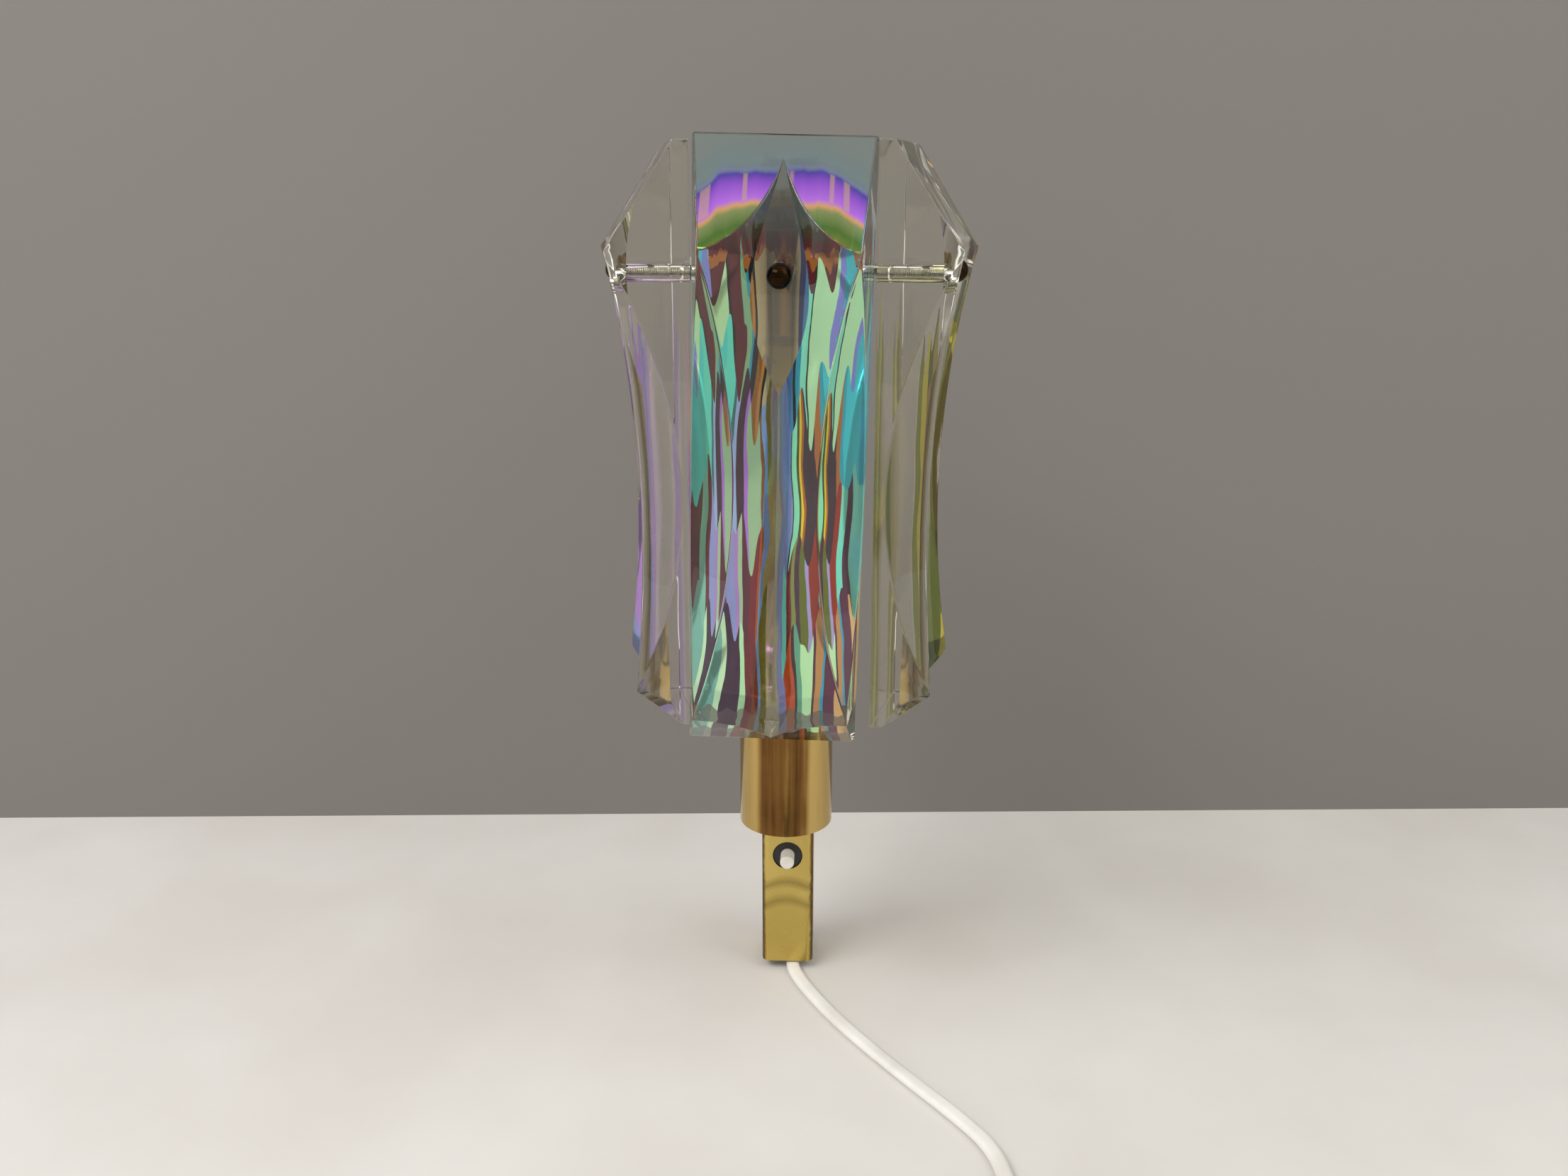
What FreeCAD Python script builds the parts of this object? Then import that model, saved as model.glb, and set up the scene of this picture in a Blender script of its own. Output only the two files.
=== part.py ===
"""Crystal wall sconce, in millimetres.

A channel-shaped brass bar hangs on the wall.  It carries a brass tube with the lampholder, a
push-button switch near its foot and, at its head, a ring with three threaded rods.  One thick
pressed crystal panel hangs on each rod, held by a ball nut.  A flat white cord leaves the foot
of the bar, lies on the surface below and ends in a coil with its plug.

Frame: +X to the right seen from the front, +Y towards the wall, +Z up.  The origin is on the
wall, in the middle between the two holes of the mounting strap.
"""
import FreeCAD, Part
import math
import os

V = FreeCAD.Vector

# ---------------------------------------------------------------- driving dimensions (mm)
# Levels, counted from the lower rim of the tube
STRAP_LEVEL = 178.0         # centre of the mounting strap: the origin of the part
BAR_FOOT_LEVEL = -74.5      # lower end of the wall bar
SWITCH_LEVEL = -26.2        # axis of the push button
BOLT_LEVEL = 204.8          # axes of the three rods
SURFACE_DROP = 4.0          # the table lies this far under the foot of the bar

# Wall bar
WALL_TO_AXIS = 38.0         # wall plane to the axis of the tube
BAR_WIDTH = 20.8
BAR_SHEET = 1.2
BAR_EDGE_RADIUS = 3.0
BAR_HEAD_RISE = 2.0         # the bar ends this far above the ring
SEAT_GAP = 0.1              # a round piece stands this far off the flat piece it is riveted to

# Mounting strap, its stud and cap nut
STRAP_LENGTH = 70.0
STRAP_THICKNESS = 1.5
STRAP_SIDE_GAP = 0.4
WALL_HOLE_SPACING = 50.0
WALL_HOLE_RADIUS = 2.25
STUD_RADIUS = 2.0
NUT_FLATS = 7.0             # across the flats of the M4 nuts
NUT_HEIGHT = 3.0
THREAD_GAP = 0.05
HOLE_GAP = 0.15             # radial room round a screw or rivet in sheet metal
CAP_DOME_INSET = 0.3
CAP_DOME_HEIGHT = 3.2

# Tube and lampholder
TUBE_DIAMETER = 35.0
TUBE_LENGTH = 87.0
TUBE_SHEET = 1.0
DISC_THICKNESS = 1.5
DISC_RECESS = 0.5
RIVET_RADIUS = 1.5
RIVET_HEAD_RADIUS = 2.8
RIVET_HEAD_HEIGHT = 1.0
TUBE_RIVET_LEVELS = (36.0, 66.0)
NIPPLE_RADIUS = 5.0
NIPPLE_BORE = 3.5
NIPPLE_BELOW = 4.0
NIPPLE_NUT_FLATS = 14.0
NIPPLE_NUT_HEIGHT = 2.8
HOLDER_RADIUS = 13.0
HOLDER_BASE_HEIGHT = 12.0
HOLDER_BODY_HEIGHT = 42.0
HOLDER_LIP = 1.5            # chamfer round the mouth of the lampholder
SOCKET_RADIUS = 7.0         # bore of the E14 screw shell
SHELL_SHEET = 0.4
SHELL_LENGTH = 25.0
SHELL_DEPTH = 3.0           # the shell ends this far below the mouth of the holder
CONTACT_THICKNESS = 0.5
CONTACT_WIDTH = 4.0
CONTACT_LENGTH = 9.0
CONTACT_DROP = 0.5          # the contact ends this far below the screw shell
HOLDER_FLOOR = 2.0
CAVITY_RADIUS = 6.0
WIRE_HOLE_RADIUS = 4.2
WIRE_HOLE_LEVEL = 21.0
GROMMET_LIP = 1.0
GROMMET_BORE = 2.6

# Ring and rods
RING_DIAMETER = TUBE_DIAMETER   # both are riveted to the flat front of the bar
RING_SHEET = 1.2
RING_ABOVE_BOLT = 9.0
RING_BELOW_BOLT = 16.0
RING_RIVET_SPREAD = 13.0
ROD_RADIUS = 2.0
ROD_PAST_NUT = 0.4          # a rod ends this far inside its innermost nut
SIDE_ANGLE = 79.0           # the side crystals stand at this angle to the front one
FRONT_BACK_FACE = 39.5      # axis of the tube to the flat back of the front crystal
SIDE_BACK_FACE = 35.5       # the same for the side crystals
WASHER_RADIUS = 3.7
WASHER_THICKNESS = 0.6
WASHER_GAP = 0.2            # play between a crystal and each of its washers
BALL_RADIUS = 3.9
BALL_SEAT = 3.0             # centre of the ball nut to its flat seat
BALL_THREAD_DEPTH = 4.6

# Crystal panel: u is across, t is outwards from its flat back, z is up from its lower edge
CRYSTAL_HEIGHT = 195.0
CRYSTAL_BACK_WIDTH = 57.0
CRYSTAL_CHEEK_TAPER = 6.0   # the cheeks close by 1 in this many
CRYSTAL_FLAT = 4.9          # depth of the flat strips at the top and the bottom
CRYSTAL_BOLT_HEIGHT = 153.6
TIP_DEPTH = 27.0            # upper tips of the two lobes
TIP_HEIGHT = 161.0
WAIST_DEPTH = 19.5          # edge of the lobes half way between the tips
FOOT_TIP_DEPTH = 20.6       # lower tips
FOOT_TIP_HEIGHT = 12.3
GROOVE_DEPTH_TOP = 9.0      # glass behind the groove, at the height of the upper tips
GROOVE_DEPTH_FOOT = 6.5
LOBE_TURN = 48.0            # degrees that each lobe's arc turns through
FLANK_DEPTH = 21.8          # nearest point of the hollowed flanks, along the flank direction
FLANK_ANGLE = 48.1          # degrees from the panel to the flank direction
TIP_SLACK = 0.15            # the hollows stop this far outside the tips, which stay clean corners
BOSS_DEPTH = 18.6           # crest of the boss that carries the bolt
BOSS_LENGTH = 76.0
BOSS_END_DEPTH = 7.0        # its ends lie inside the glass
BOSS_HALF_WIDTH = 9.0
NUT_SEAT_RADIUS = 4.5
NUT_SEAT_SINK = 0.3
CRYSTAL_BORE = 3.0
HANG_DROP = 0.7             # a crystal rests on its rod, so its bore sits this much lower
FRONT_LEAN = 1.3            # degrees, as photographed: the foot is to the left
SIDE_LEAN = 1.4             # degrees, as photographed: the foot is nearer the wall

# Switch
SWITCH_HOLE_RADIUS = 6.0
SWITCH_NECK_RADIUS = 5.6
SWITCH_NECK_RECESS = 0.5
SWITCH_HEIGHT = 15.0
SWITCH_LID_THICKNESS = 2.0
TAG_WIDTH = 2.4
TAG_LENGTH = 3.4
TAG_HALF = 0.4              # half the thickness of a solder tag
BUTTON_RADIUS = 2.8
BUTTON_OUT = 6.6            # the button stands out of the bar by this much
BUTTON_TRAVEL = 2.5
BUTTON_COLLAR = 1.0         # width and thickness of the collar, and the wall in front of it
BUTTON_GAP = 0.1
BUTTON_EDGE = 0.8
SPRING_WIRE = 0.5
SPRING_RADIUS = 1.9
SPRING_TURNS = 5
SPRING_SLACK = 1.5          # room left in the spring when the button is pressed home

# Rear plate, terminal block, cord clamp
PLATE_THICKNESS = 1.5
PLATE_TOP_LEVEL = -4.0
PLATE_FOOT_GAP = 1.0
BLOCK_WIDTH = 15.0
BLOCK_DEPTH = 9.0
BLOCK_HEIGHT = 11.0
BLOCK_LEVEL = -48.0         # centre of the terminal block
BLOCK_SCREW_RADIUS = 1.5
BLOCK_SCREW_SPACING = 7.0
BLOCK_SCREW_DEPTH = 5.0
BLOCK_SCREW_SUNK = 0.5
SLOT_DEPTH = 0.6
SLOT_HALF = 0.3
CLAMP_LEVEL = -63.0
CLAMP_HEIGHT = 5.0
CLAMP_SHEET = 0.8
CLAMP_FOOT = 3.2
CLAMP_SCREW_RADIUS = 1.0
CLAMP_SCREW_HEAD = 1.5
CLAMP_HEAD_HEIGHT = 1.0

# Wires and cord
WIRE_RADIUS = 0.9
CORD_WIDTH = 5.4
CORD_THICKNESS = 3.3
CORD_DEPTH_IN_BAR = 9.0     # from the wall to the middle of the cord, inside the bar
CORD_OFFSET = 2.2           # the cord leaves right of the middle
BEND_SHARE = 0.45           # share of the shorter run that a bend may use

# Coil: put away just past the photograph's lower edge
COIL_CENTRE = (32.3, -206.0)
COIL_RADIUS = 44.2          # outer turn
COIL_PITCH = 6.2
COIL_HALF_TURNS = 8         # wound in on the lower layer; the upper layer has one less
COIL_LAYER_PITCH = 5.9
COIL_LEAD = 5.4             # straight ends of the coil
RUN_TO_COIL = 19.6          # last straight run of the free cord
RUN_FROM_COIL = 9.8         # first straight run of the tail
COIL_PLUG_GAP = 0.1
PLUG_LENGTH = 30.0
PLUG_WIDTH = 35.0
PLUG_THICKNESS = 13.7
PLUG_NOSE = 9.0             # half the width where the plug begins
RELIEF_WALL = 1.0
PLUG_EDGE = 2.5
PIN_RADIUS = 2.0
PIN_LENGTH = 19.0
PIN_SPACING = 18.6
RELIEF_LENGTH = 14.0

# ---------------------------------------------------------------- derived places
TUBE_FOOT = -STRAP_LEVEL
BAR_FOOT = TUBE_FOOT + BAR_FOOT_LEVEL
BOLT_Z = TUBE_FOOT + BOLT_LEVEL
RING_TOP = BOLT_Z + RING_ABOVE_BOLT
RING_FOOT = BOLT_Z - RING_BELOW_BOLT
BAR_HEAD = RING_TOP + BAR_HEAD_RISE
BAR_FRONT = WALL_TO_AXIS - TUBE_DIAMETER / 2 - SEAT_GAP
WEB_BACK = BAR_FRONT - BAR_SHEET
INNER_HALF = BAR_WIDTH / 2 - BAR_SHEET
SURFACE_Z = BAR_FOOT - SURFACE_DROP
SWITCH_Z = TUBE_FOOT + SWITCH_LEVEL
BASE_FOOT = TUBE_FOOT + DISC_RECESS + DISC_THICKNESS
BODY_FOOT = BASE_FOOT + HOLDER_BASE_HEIGHT
BODY_TOP = BODY_FOOT + HOLDER_BODY_HEIGHT
SHELL_TOP = BODY_TOP - SHELL_DEPTH
SHELL_FOOT = SHELL_TOP - SHELL_LENGTH
WIRE_HOLE_Z = TUBE_FOOT + WIRE_HOLE_LEVEL
BLOCK_Z = TUBE_FOOT + BLOCK_LEVEL
CLAMP_Z = TUBE_FOOT + CLAMP_LEVEL
SPRING_SOLID = (SPRING_TURNS + 1) * SPRING_WIRE
SWITCH_SHELL_DEPTH = 2 * BUTTON_COLLAR + BUTTON_TRAVEL + SPRING_SOLID + SPRING_SLACK
FORWARD = V(0, -1, 0)
UP = V(0, 0, 1)


# ---------------------------------------------------------------- small helpers
def cylinder(radius, length, base, direction=UP):
    return Part.makeCylinder(radius, length, base, direction)


def tube(outer, inner, length, base, direction=UP):
    return cylinder(outer, length, base, direction).cut(cylinder(inner, length, base, direction))


def box(x0, x1, y0, y1, z0, z1):
    return Part.makeBox(x1 - x0, y1 - y0, z1 - z0, V(x0, y0, z0))


def hexagon(flats, height, base, direction):
    """A hexagonal prism across the given flats."""
    corner = flats / math.sqrt(3)
    ring = [V(corner * math.cos(math.radians(60 * k)), corner * math.sin(math.radians(60 * k)), 0)
            for k in range(7)]
    prism = Part.Face(Part.makePolygon(ring)).extrude(V(0, 0, height))
    prism.Placement = FreeCAD.Placement(base, FreeCAD.Rotation(UP, direction))
    return prism


def hex_nut(flats, height, bore, base, direction):
    return hexagon(flats, height, base, direction).cut(cylinder(bore, height, base, direction))


def rivet(start, length, direction):
    """A shank between two flat heads; the grip runs from start along direction."""
    shank = cylinder(RIVET_RADIUS, length, start, direction)
    foot = cylinder(RIVET_HEAD_RADIUS, RIVET_HEAD_HEIGHT, start - direction * RIVET_HEAD_HEIGHT, direction)
    head = cylinder(RIVET_HEAD_RADIUS, RIVET_HEAD_HEIGHT, start + direction * length, direction)
    return shank.fuse([foot, head]).removeSplitter()


def group(solids):
    return Part.makeCompound(solids)


def flat_against_curve(radius, half_width):
    """How far a flat of that half width must stand off inside a round wall of that radius."""
    return radius - math.sqrt(radius ** 2 - half_width ** 2)


# ---------------------------------------------------------------- paths of wires and cords
def rounded_path(points):
    """Straight runs and the arcs between them, each arc as large as its two runs allow."""
    pieces = []
    here = points[0]
    for before, corner, after in zip(points, points[1:], points[2:]):
        arriving = (corner - before).normalize()
        leaving = (after - corner).normalize()
        turn = arriving.getAngle(leaving)
        reach = BEND_SHARE * min((corner - before).Length, (after - corner).Length)
        radius = reach / math.tan(turn / 2)
        start = corner - arriving * reach
        end = corner + leaving * reach
        axis = arriving.cross(leaving).normalize()
        centre = start + axis.cross(arriving) * radius
        pieces.append(("run", here, start))
        pieces.append(("arc", centre, axis, math.degrees(turn), radius, start, end))
        here = end
    pieces.append(("run", here, points[-1]))
    return pieces


def path_length(pieces):
    total = 0.0
    for piece in pieces:
        if piece[0] == "run":
            total += (piece[2] - piece[1]).Length
        else:
            total += math.radians(piece[3]) * piece[4]
    return total


def sweep_along(face, pieces):
    """Carry a face along runs and arcs and join the solids that it leaves behind."""
    solids = []
    for piece in pieces:
        if piece[0] == "run":
            step = piece[2] - piece[1]
            solids.append(face.extrude(step))
            face = face.copy()
            face.translate(step)
        else:
            centre, axis, angle = piece[1:4]
            solids.append(face.revolve(centre, axis, angle))
            face = face.copy()
            face.rotate(centre, axis, angle)
    return solids[0].fuse(solids[1:]).removeSplitter()


def round_wire(points, radius):
    pieces = rounded_path(points)
    direction = (points[1] - points[0]).normalize()
    circle = Part.Wire(Part.makeCircle(radius, points[0], direction))
    return sweep_along(Part.Face(circle), pieces)


def biarc(start, leaving, end, arriving):
    """Two arcs that join two points with the given directions."""
    chord = end - start
    both = leaving + arriving
    spread = 2 * (1 - leaving.dot(arriving))
    along = chord.dot(both)
    reach = (-along + math.sqrt(along ** 2 + spread * chord.dot(chord))) / spread
    joint = (start + leaving * reach + end - arriving * reach) * 0.5
    first = arc_from(start, leaving, joint)
    second = arc_from(end, arriving * -1, joint)
    return [first, (second[2], second[1], second[0])]


def arc_from(start, direction, end):
    """The three points of the arc that leaves start in that direction and reaches end."""
    chord = end - start
    line = V(chord).normalize()
    side = (direction - line * direction.dot(line)).normalize()
    sagitta = chord.Length / 2 * math.tan(direction.getAngle(chord) / 2)
    return (start, (start + end) * 0.5 + side * sagitta, end)


# ---------------------------------------------------------------- wall bar and what holds it
def web_hole(radius, x, z):
    return cylinder(radius, BAR_SHEET + 2, V(x, -WEB_BACK + 1, z), FORWARD)


def wall_bar():
    """A long folded channel, open towards the wall."""
    half = BAR_WIDTH / 2
    outer = box(-half, half, -BAR_FRONT, 0, BAR_FOOT, BAR_HEAD)
    long_edges = [e for e in outer.Edges
                  if e.BoundBox.ZLength > BAR_WIDTH and abs(e.BoundBox.YMin + BAR_FRONT) < 0.01]
    outer = outer.makeFillet(BAR_EDGE_RADIUS, long_edges)
    inner = box(-INNER_HALF, INNER_HALF, -WEB_BACK, 1, BAR_FOOT - 1, BAR_HEAD + 1)
    fold = [e for e in inner.Edges
            if e.BoundBox.ZLength > BAR_WIDTH and abs(e.BoundBox.YMin + WEB_BACK) < 0.01]
    inner = inner.makeFillet(BAR_EDGE_RADIUS - BAR_SHEET, fold)
    bar = outer.cut(inner)
    holes = [web_hole(SWITCH_HOLE_RADIUS, 0, SWITCH_Z),
             web_hole(STUD_RADIUS + HOLE_GAP, 0, 0),
             web_hole(WIRE_HOLE_RADIUS, 0, WIRE_HOLE_Z)]
    for level in tube_rivet_heights() + ring_rivet_heights():
        holes.append(web_hole(RIVET_RADIUS + HOLE_GAP, 0, level))
    return bar.cut(holes)


def mounting_strap():
    half = INNER_HALF - STRAP_SIDE_GAP
    strap = box(-half, half, -STRAP_THICKNESS, 0, -STRAP_LENGTH / 2, STRAP_LENGTH / 2)
    for z in (-WALL_HOLE_SPACING / 2, WALL_HOLE_SPACING / 2):
        strap = strap.cut(cylinder(WALL_HOLE_RADIUS, STRAP_THICKNESS, V(0, 0, z), FORWARD))
    return strap.cut(cylinder(STUD_RADIUS + THREAD_GAP, STRAP_THICKNESS, V(0, 0, 0), FORWARD))


def strap_stud():
    """A threaded stud with a flat head, which keeps the bar on the strap."""
    return cylinder(STUD_RADIUS, BAR_FRONT + NUT_HEIGHT, V(0, 0, 0), FORWARD)


def stud_spacer():
    """A sleeve round the stud, between the strap and the web of the bar."""
    base = V(0, -STRAP_THICKNESS, 0)
    length = WEB_BACK - STRAP_THICKNESS
    return tube(NUT_FLATS / 2, STUD_RADIUS + HOLE_GAP, length, base, FORWARD)


def stud_cap_nut():
    base = V(0, -BAR_FRONT, 0)
    nut = hexagon(NUT_FLATS, NUT_HEIGHT, base, FORWARD)
    crown = base + FORWARD * NUT_HEIGHT
    radius = NUT_FLATS / 2 - CAP_DOME_INSET
    dome = Part.makeSphere(radius, crown).common(cylinder(radius, CAP_DOME_HEIGHT, crown, FORWARD))
    cap = nut.fuse(dome)
    return cap.cut(cylinder(STUD_RADIUS + THREAD_GAP, NUT_HEIGHT + THREAD_GAP, base, FORWARD))


# ---------------------------------------------------------------- tube and lampholder
def axis_point(z):
    return V(0, -WALL_TO_AXIS, z)


def tube_rivet_heights():
    return [TUBE_FOOT + level for level in TUBE_RIVET_LEVELS]


def tube_sleeve():
    outer = TUBE_DIAMETER / 2
    sleeve = tube(outer, outer - TUBE_SHEET, TUBE_LENGTH, axis_point(TUBE_FOOT))
    back = V(0, -WALL_TO_AXIS + outer / 2, 0)
    for z in tube_rivet_heights():
        sleeve = sleeve.cut(cylinder(RIVET_RADIUS + HOLE_GAP, outer, back + V(0, 0, z), V(0, 1, 0)))
    return sleeve.cut(cylinder(WIRE_HOLE_RADIUS, outer, back + V(0, 0, WIRE_HOLE_Z), V(0, 1, 0)))


def tube_bottom_disc():
    radius = TUBE_DIAMETER / 2 - TUBE_SHEET - THREAD_GAP
    return tube(radius, NIPPLE_RADIUS + THREAD_GAP, DISC_THICKNESS, axis_point(TUBE_FOOT + DISC_RECESS))


def sheet_rivets(heights, inner_radius):
    """Rivets through a round wall and the flat web of the bar."""
    stand_off = flat_against_curve(inner_radius, RIVET_HEAD_RADIUS)
    front = WALL_TO_AXIS - inner_radius + stand_off
    return [rivet(V(0, -WEB_BACK, z), front - WEB_BACK, FORWARD) for z in heights]


def threaded_nipple():
    foot = TUBE_FOOT + DISC_RECESS - NIPPLE_BELOW
    return tube(NIPPLE_RADIUS, NIPPLE_BORE, BODY_FOOT - foot, axis_point(foot))


def nipple_nut():
    foot = axis_point(TUBE_FOOT + DISC_RECESS - NIPPLE_NUT_HEIGHT)
    return hex_nut(NIPPLE_NUT_FLATS, NIPPLE_NUT_HEIGHT, NIPPLE_RADIUS + THREAD_GAP, foot, UP)


def lampholder_base():
    return tube(HOLDER_RADIUS, NIPPLE_RADIUS + THREAD_GAP, HOLDER_BASE_HEIGHT, axis_point(BASE_FOOT))


def holder_wire_places():
    """The two wires enter the back of the lampholder side by side."""
    side = WIRE_RADIUS + GROMMET_LIP / 4
    return [V(x, -WALL_TO_AXIS, WIRE_HOLE_Z) for x in (-side, side)]


def lampholder_body():
    body = cylinder(HOLDER_RADIUS, HOLDER_BODY_HEIGHT, axis_point(BODY_FOOT))
    rim = [e for e in body.Edges if abs(e.BoundBox.ZMin - BODY_TOP) < 0.01 and e.BoundBox.ZLength < 0.01]
    body = body.makeChamfer(HOLDER_LIP, rim)
    shell_outer = SOCKET_RADIUS + SHELL_SHEET
    socket = cylinder(shell_outer + THREAD_GAP, BODY_TOP - SHELL_FOOT, axis_point(SHELL_FOOT))
    floor = BODY_FOOT + HOLDER_FLOOR
    cavity = cylinder(CAVITY_RADIUS, SHELL_FOOT - floor, axis_point(floor))
    body = body.cut([socket, cavity])
    for place in holder_wire_places():
        body = body.cut(cylinder(WIRE_RADIUS + HOLE_GAP, HOLDER_RADIUS, place, V(0, 1, 0)))
    return body


def lampholder_shell():
    return tube(SOCKET_RADIUS + SHELL_SHEET, SOCKET_RADIUS, SHELL_LENGTH, axis_point(SHELL_FOOT))


def lampholder_contact():
    """A bent brass strip, standing under the foot of the lamp."""
    half = CONTACT_WIDTH / 2
    floor = BODY_FOOT + HOLDER_FLOOR
    leaf = box(-half, half, -WALL_TO_AXIS - CONTACT_LENGTH / 2, -WALL_TO_AXIS + CONTACT_LENGTH / 2,
               floor, floor + CONTACT_THICKNESS)
    post = box(-half, half, -WALL_TO_AXIS - CONTACT_THICKNESS, -WALL_TO_AXIS + CONTACT_THICKNESS,
               floor, SHELL_FOOT - CONTACT_DROP)
    return leaf.fuse(post).removeSplitter()


def wire_grommet():
    """A soft bush where the wires pass from the bar into the tube."""
    start = V(0, -WEB_BACK + GROMMET_LIP, WIRE_HOLE_Z)
    reach = WALL_TO_AXIS - (TUBE_DIAMETER / 2 - TUBE_SHEET)
    stem = cylinder(WIRE_HOLE_RADIUS - THREAD_GAP, reach - WEB_BACK + GROMMET_LIP, start, FORWARD)
    lip = cylinder(WIRE_HOLE_RADIUS + GROMMET_LIP, GROMMET_LIP, start, FORWARD)
    bore = cylinder(GROMMET_BORE, reach, start, FORWARD)
    return stem.fuse(lip).cut(bore)


# ---------------------------------------------------------------- ring, rods and their nuts
def ring_rivet_heights():
    middle = (RING_TOP + RING_FOOT) / 2
    return [middle - RING_RIVET_SPREAD / 2, middle + RING_RIVET_SPREAD / 2]


def directions():
    """Outward direction and back-face distance of the front, left and right crystal."""
    side = math.radians(SIDE_ANGLE)
    return {
        "front": (V(0, -1, 0), FRONT_BACK_FACE),
        "left": (V(-math.sin(side), -math.cos(side), 0), SIDE_BACK_FACE),
        "right": (V(math.sin(side), -math.cos(side), 0), SIDE_BACK_FACE),
    }


def top_ring():
    outer = RING_DIAMETER / 2
    ring = tube(outer, outer - RING_SHEET, RING_TOP - RING_FOOT, axis_point(RING_FOOT))
    for outward, _ in directions().values():
        ring = ring.cut(cylinder(ROD_RADIUS + HOLE_GAP, outer + 1, axis_point(BOLT_Z), outward))
    for z in ring_rivet_heights():
        ring = ring.cut(cylinder(RIVET_RADIUS + HOLE_GAP, outer + 1, axis_point(z), V(0, 1, 0)))
    return ring


def seat_distance(back_face):
    """Distance from the axis to the flat seat in the boss of a crystal."""
    return back_face + BOSS_DEPTH - NUT_SEAT_SINK


def at(outward, distance):
    return axis_point(BOLT_Z) + outward * distance


def nut_distance(back_face):
    """Distance from the axis to the flat of the ball nut."""
    return seat_distance(back_face) + WASHER_GAP + WASHER_THICKNESS


def inner_nut_distance():
    """Distance from the axis to the near side of the nut inside the ring."""
    inner_wall = RING_DIAMETER / 2 - RING_SHEET
    corner = NUT_FLATS / math.sqrt(3)
    return inner_wall - flat_against_curve(inner_wall, corner) - NUT_HEIGHT


def crystal_rod(outward, back_face):
    start = inner_nut_distance() - ROD_PAST_NUT
    end = nut_distance(back_face) + BALL_THREAD_DEPTH - HOLE_GAP
    return cylinder(ROD_RADIUS, end - start, at(outward, start), outward)


def ball_nut(outward, back_face):
    """A ball with a flat seat and a blind thread, turned about its axis."""
    bore = ROD_RADIUS + THREAD_GAP
    seat = math.sqrt(BALL_RADIUS ** 2 - BALL_SEAT ** 2)
    slant = BALL_RADIUS * math.sqrt(0.5)
    flat_edge, crown = V(seat, 0, 0), V(0, 0, BALL_SEAT + BALL_RADIUS)
    thread_end = V(0, 0, BALL_THREAD_DEPTH)
    outline = Part.Wire([
        Part.makeLine(V(bore, 0, 0), flat_edge),
        Part.Arc(flat_edge, V(slant, 0, BALL_SEAT + slant), crown).toShape(),
        Part.makeLine(crown, thread_end),
        Part.makeLine(thread_end, thread_end + V(bore, 0, 0)),
        Part.makeLine(thread_end + V(bore, 0, 0), V(bore, 0, 0)),
    ])
    ball = Part.Face(outline).revolve(V(0, 0, 0), UP, 360)
    ball.Placement = FreeCAD.Placement(at(outward, nut_distance(back_face)), FreeCAD.Rotation(UP, outward))
    return ball


def washer(outward, base):
    return tube(WASHER_RADIUS, ROD_RADIUS + THREAD_GAP, WASHER_THICKNESS, at(outward, base), outward)


def rod_nut(outward, base):
    return hex_nut(NUT_FLATS, NUT_HEIGHT, ROD_RADIUS + THREAD_GAP, at(outward, base), outward)


def rod_fittings():
    """The washers and nuts of the three rods, as four groups of like pieces."""
    front_washers, rear_washers, rear_nuts, ring_nuts = [], [], [], []
    for outward, back_face in directions().values():
        front_washers.append(washer(outward, nut_distance(back_face) - WASHER_THICKNESS))
        rear_base = back_face - WASHER_GAP - WASHER_THICKNESS
        rear_washers.append(washer(outward, rear_base))
        rear_nuts.append(rod_nut(outward, rear_base - NUT_HEIGHT))
        ring_nuts.append(rod_nut(outward, inner_nut_distance()))
        ring_nuts.append(rod_nut(outward, RING_DIAMETER / 2))
    return {
        "front_washers": group(front_washers),
        "rear_washers": group(rear_washers),
        "rear_nuts": group(rear_nuts),
        "ring_nuts": group(ring_nuts),
    }


# ---------------------------------------------------------------- crystal panel
def circle_through(a, b, c):
    """Centre and radius of the circle through three points in a plane."""
    d = 2 * (a[0] * (b[1] - c[1]) + b[0] * (c[1] - a[1]) + c[0] * (a[1] - b[1]))
    squares = [p[0] ** 2 + p[1] ** 2 for p in (a, b, c)]
    x = (squares[0] * (b[1] - c[1]) + squares[1] * (c[1] - a[1]) + squares[2] * (a[1] - b[1])) / d
    y = (squares[0] * (c[0] - b[0]) + squares[1] * (a[0] - c[0]) + squares[2] * (b[0] - a[0])) / d
    return (x, y), math.hypot(a[0] - x, a[1] - y)


def edge_depth(z):
    """Depth of the lobes' outer edge: an arc through the upper tip, the waist and the lower tip."""
    waist_height = (TIP_HEIGHT + FOOT_TIP_HEIGHT) / 2
    (t, zc), radius = circle_through((TIP_DEPTH, TIP_HEIGHT), (WAIST_DEPTH, waist_height),
                                     (FOOT_TIP_DEPTH, FOOT_TIP_HEIGHT))
    return t - math.sqrt(radius ** 2 - (z - zc) ** 2)


def groove_depth(z):
    share = (z - FOOT_TIP_HEIGHT) / (TIP_HEIGHT - FOOT_TIP_HEIGHT)
    return GROOVE_DEPTH_FOOT + share * (GROOVE_DEPTH_TOP - GROOVE_DEPTH_FOOT)


def cheek_half_width(depth):
    return CRYSTAL_BACK_WIDTH / 2 - depth / CRYSTAL_CHEEK_TAPER


def panel_point(u, t, z):
    """A point of the panel in its own place: back face in the XZ plane, outwards to -Y."""
    return V(u, -t, z)


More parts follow.
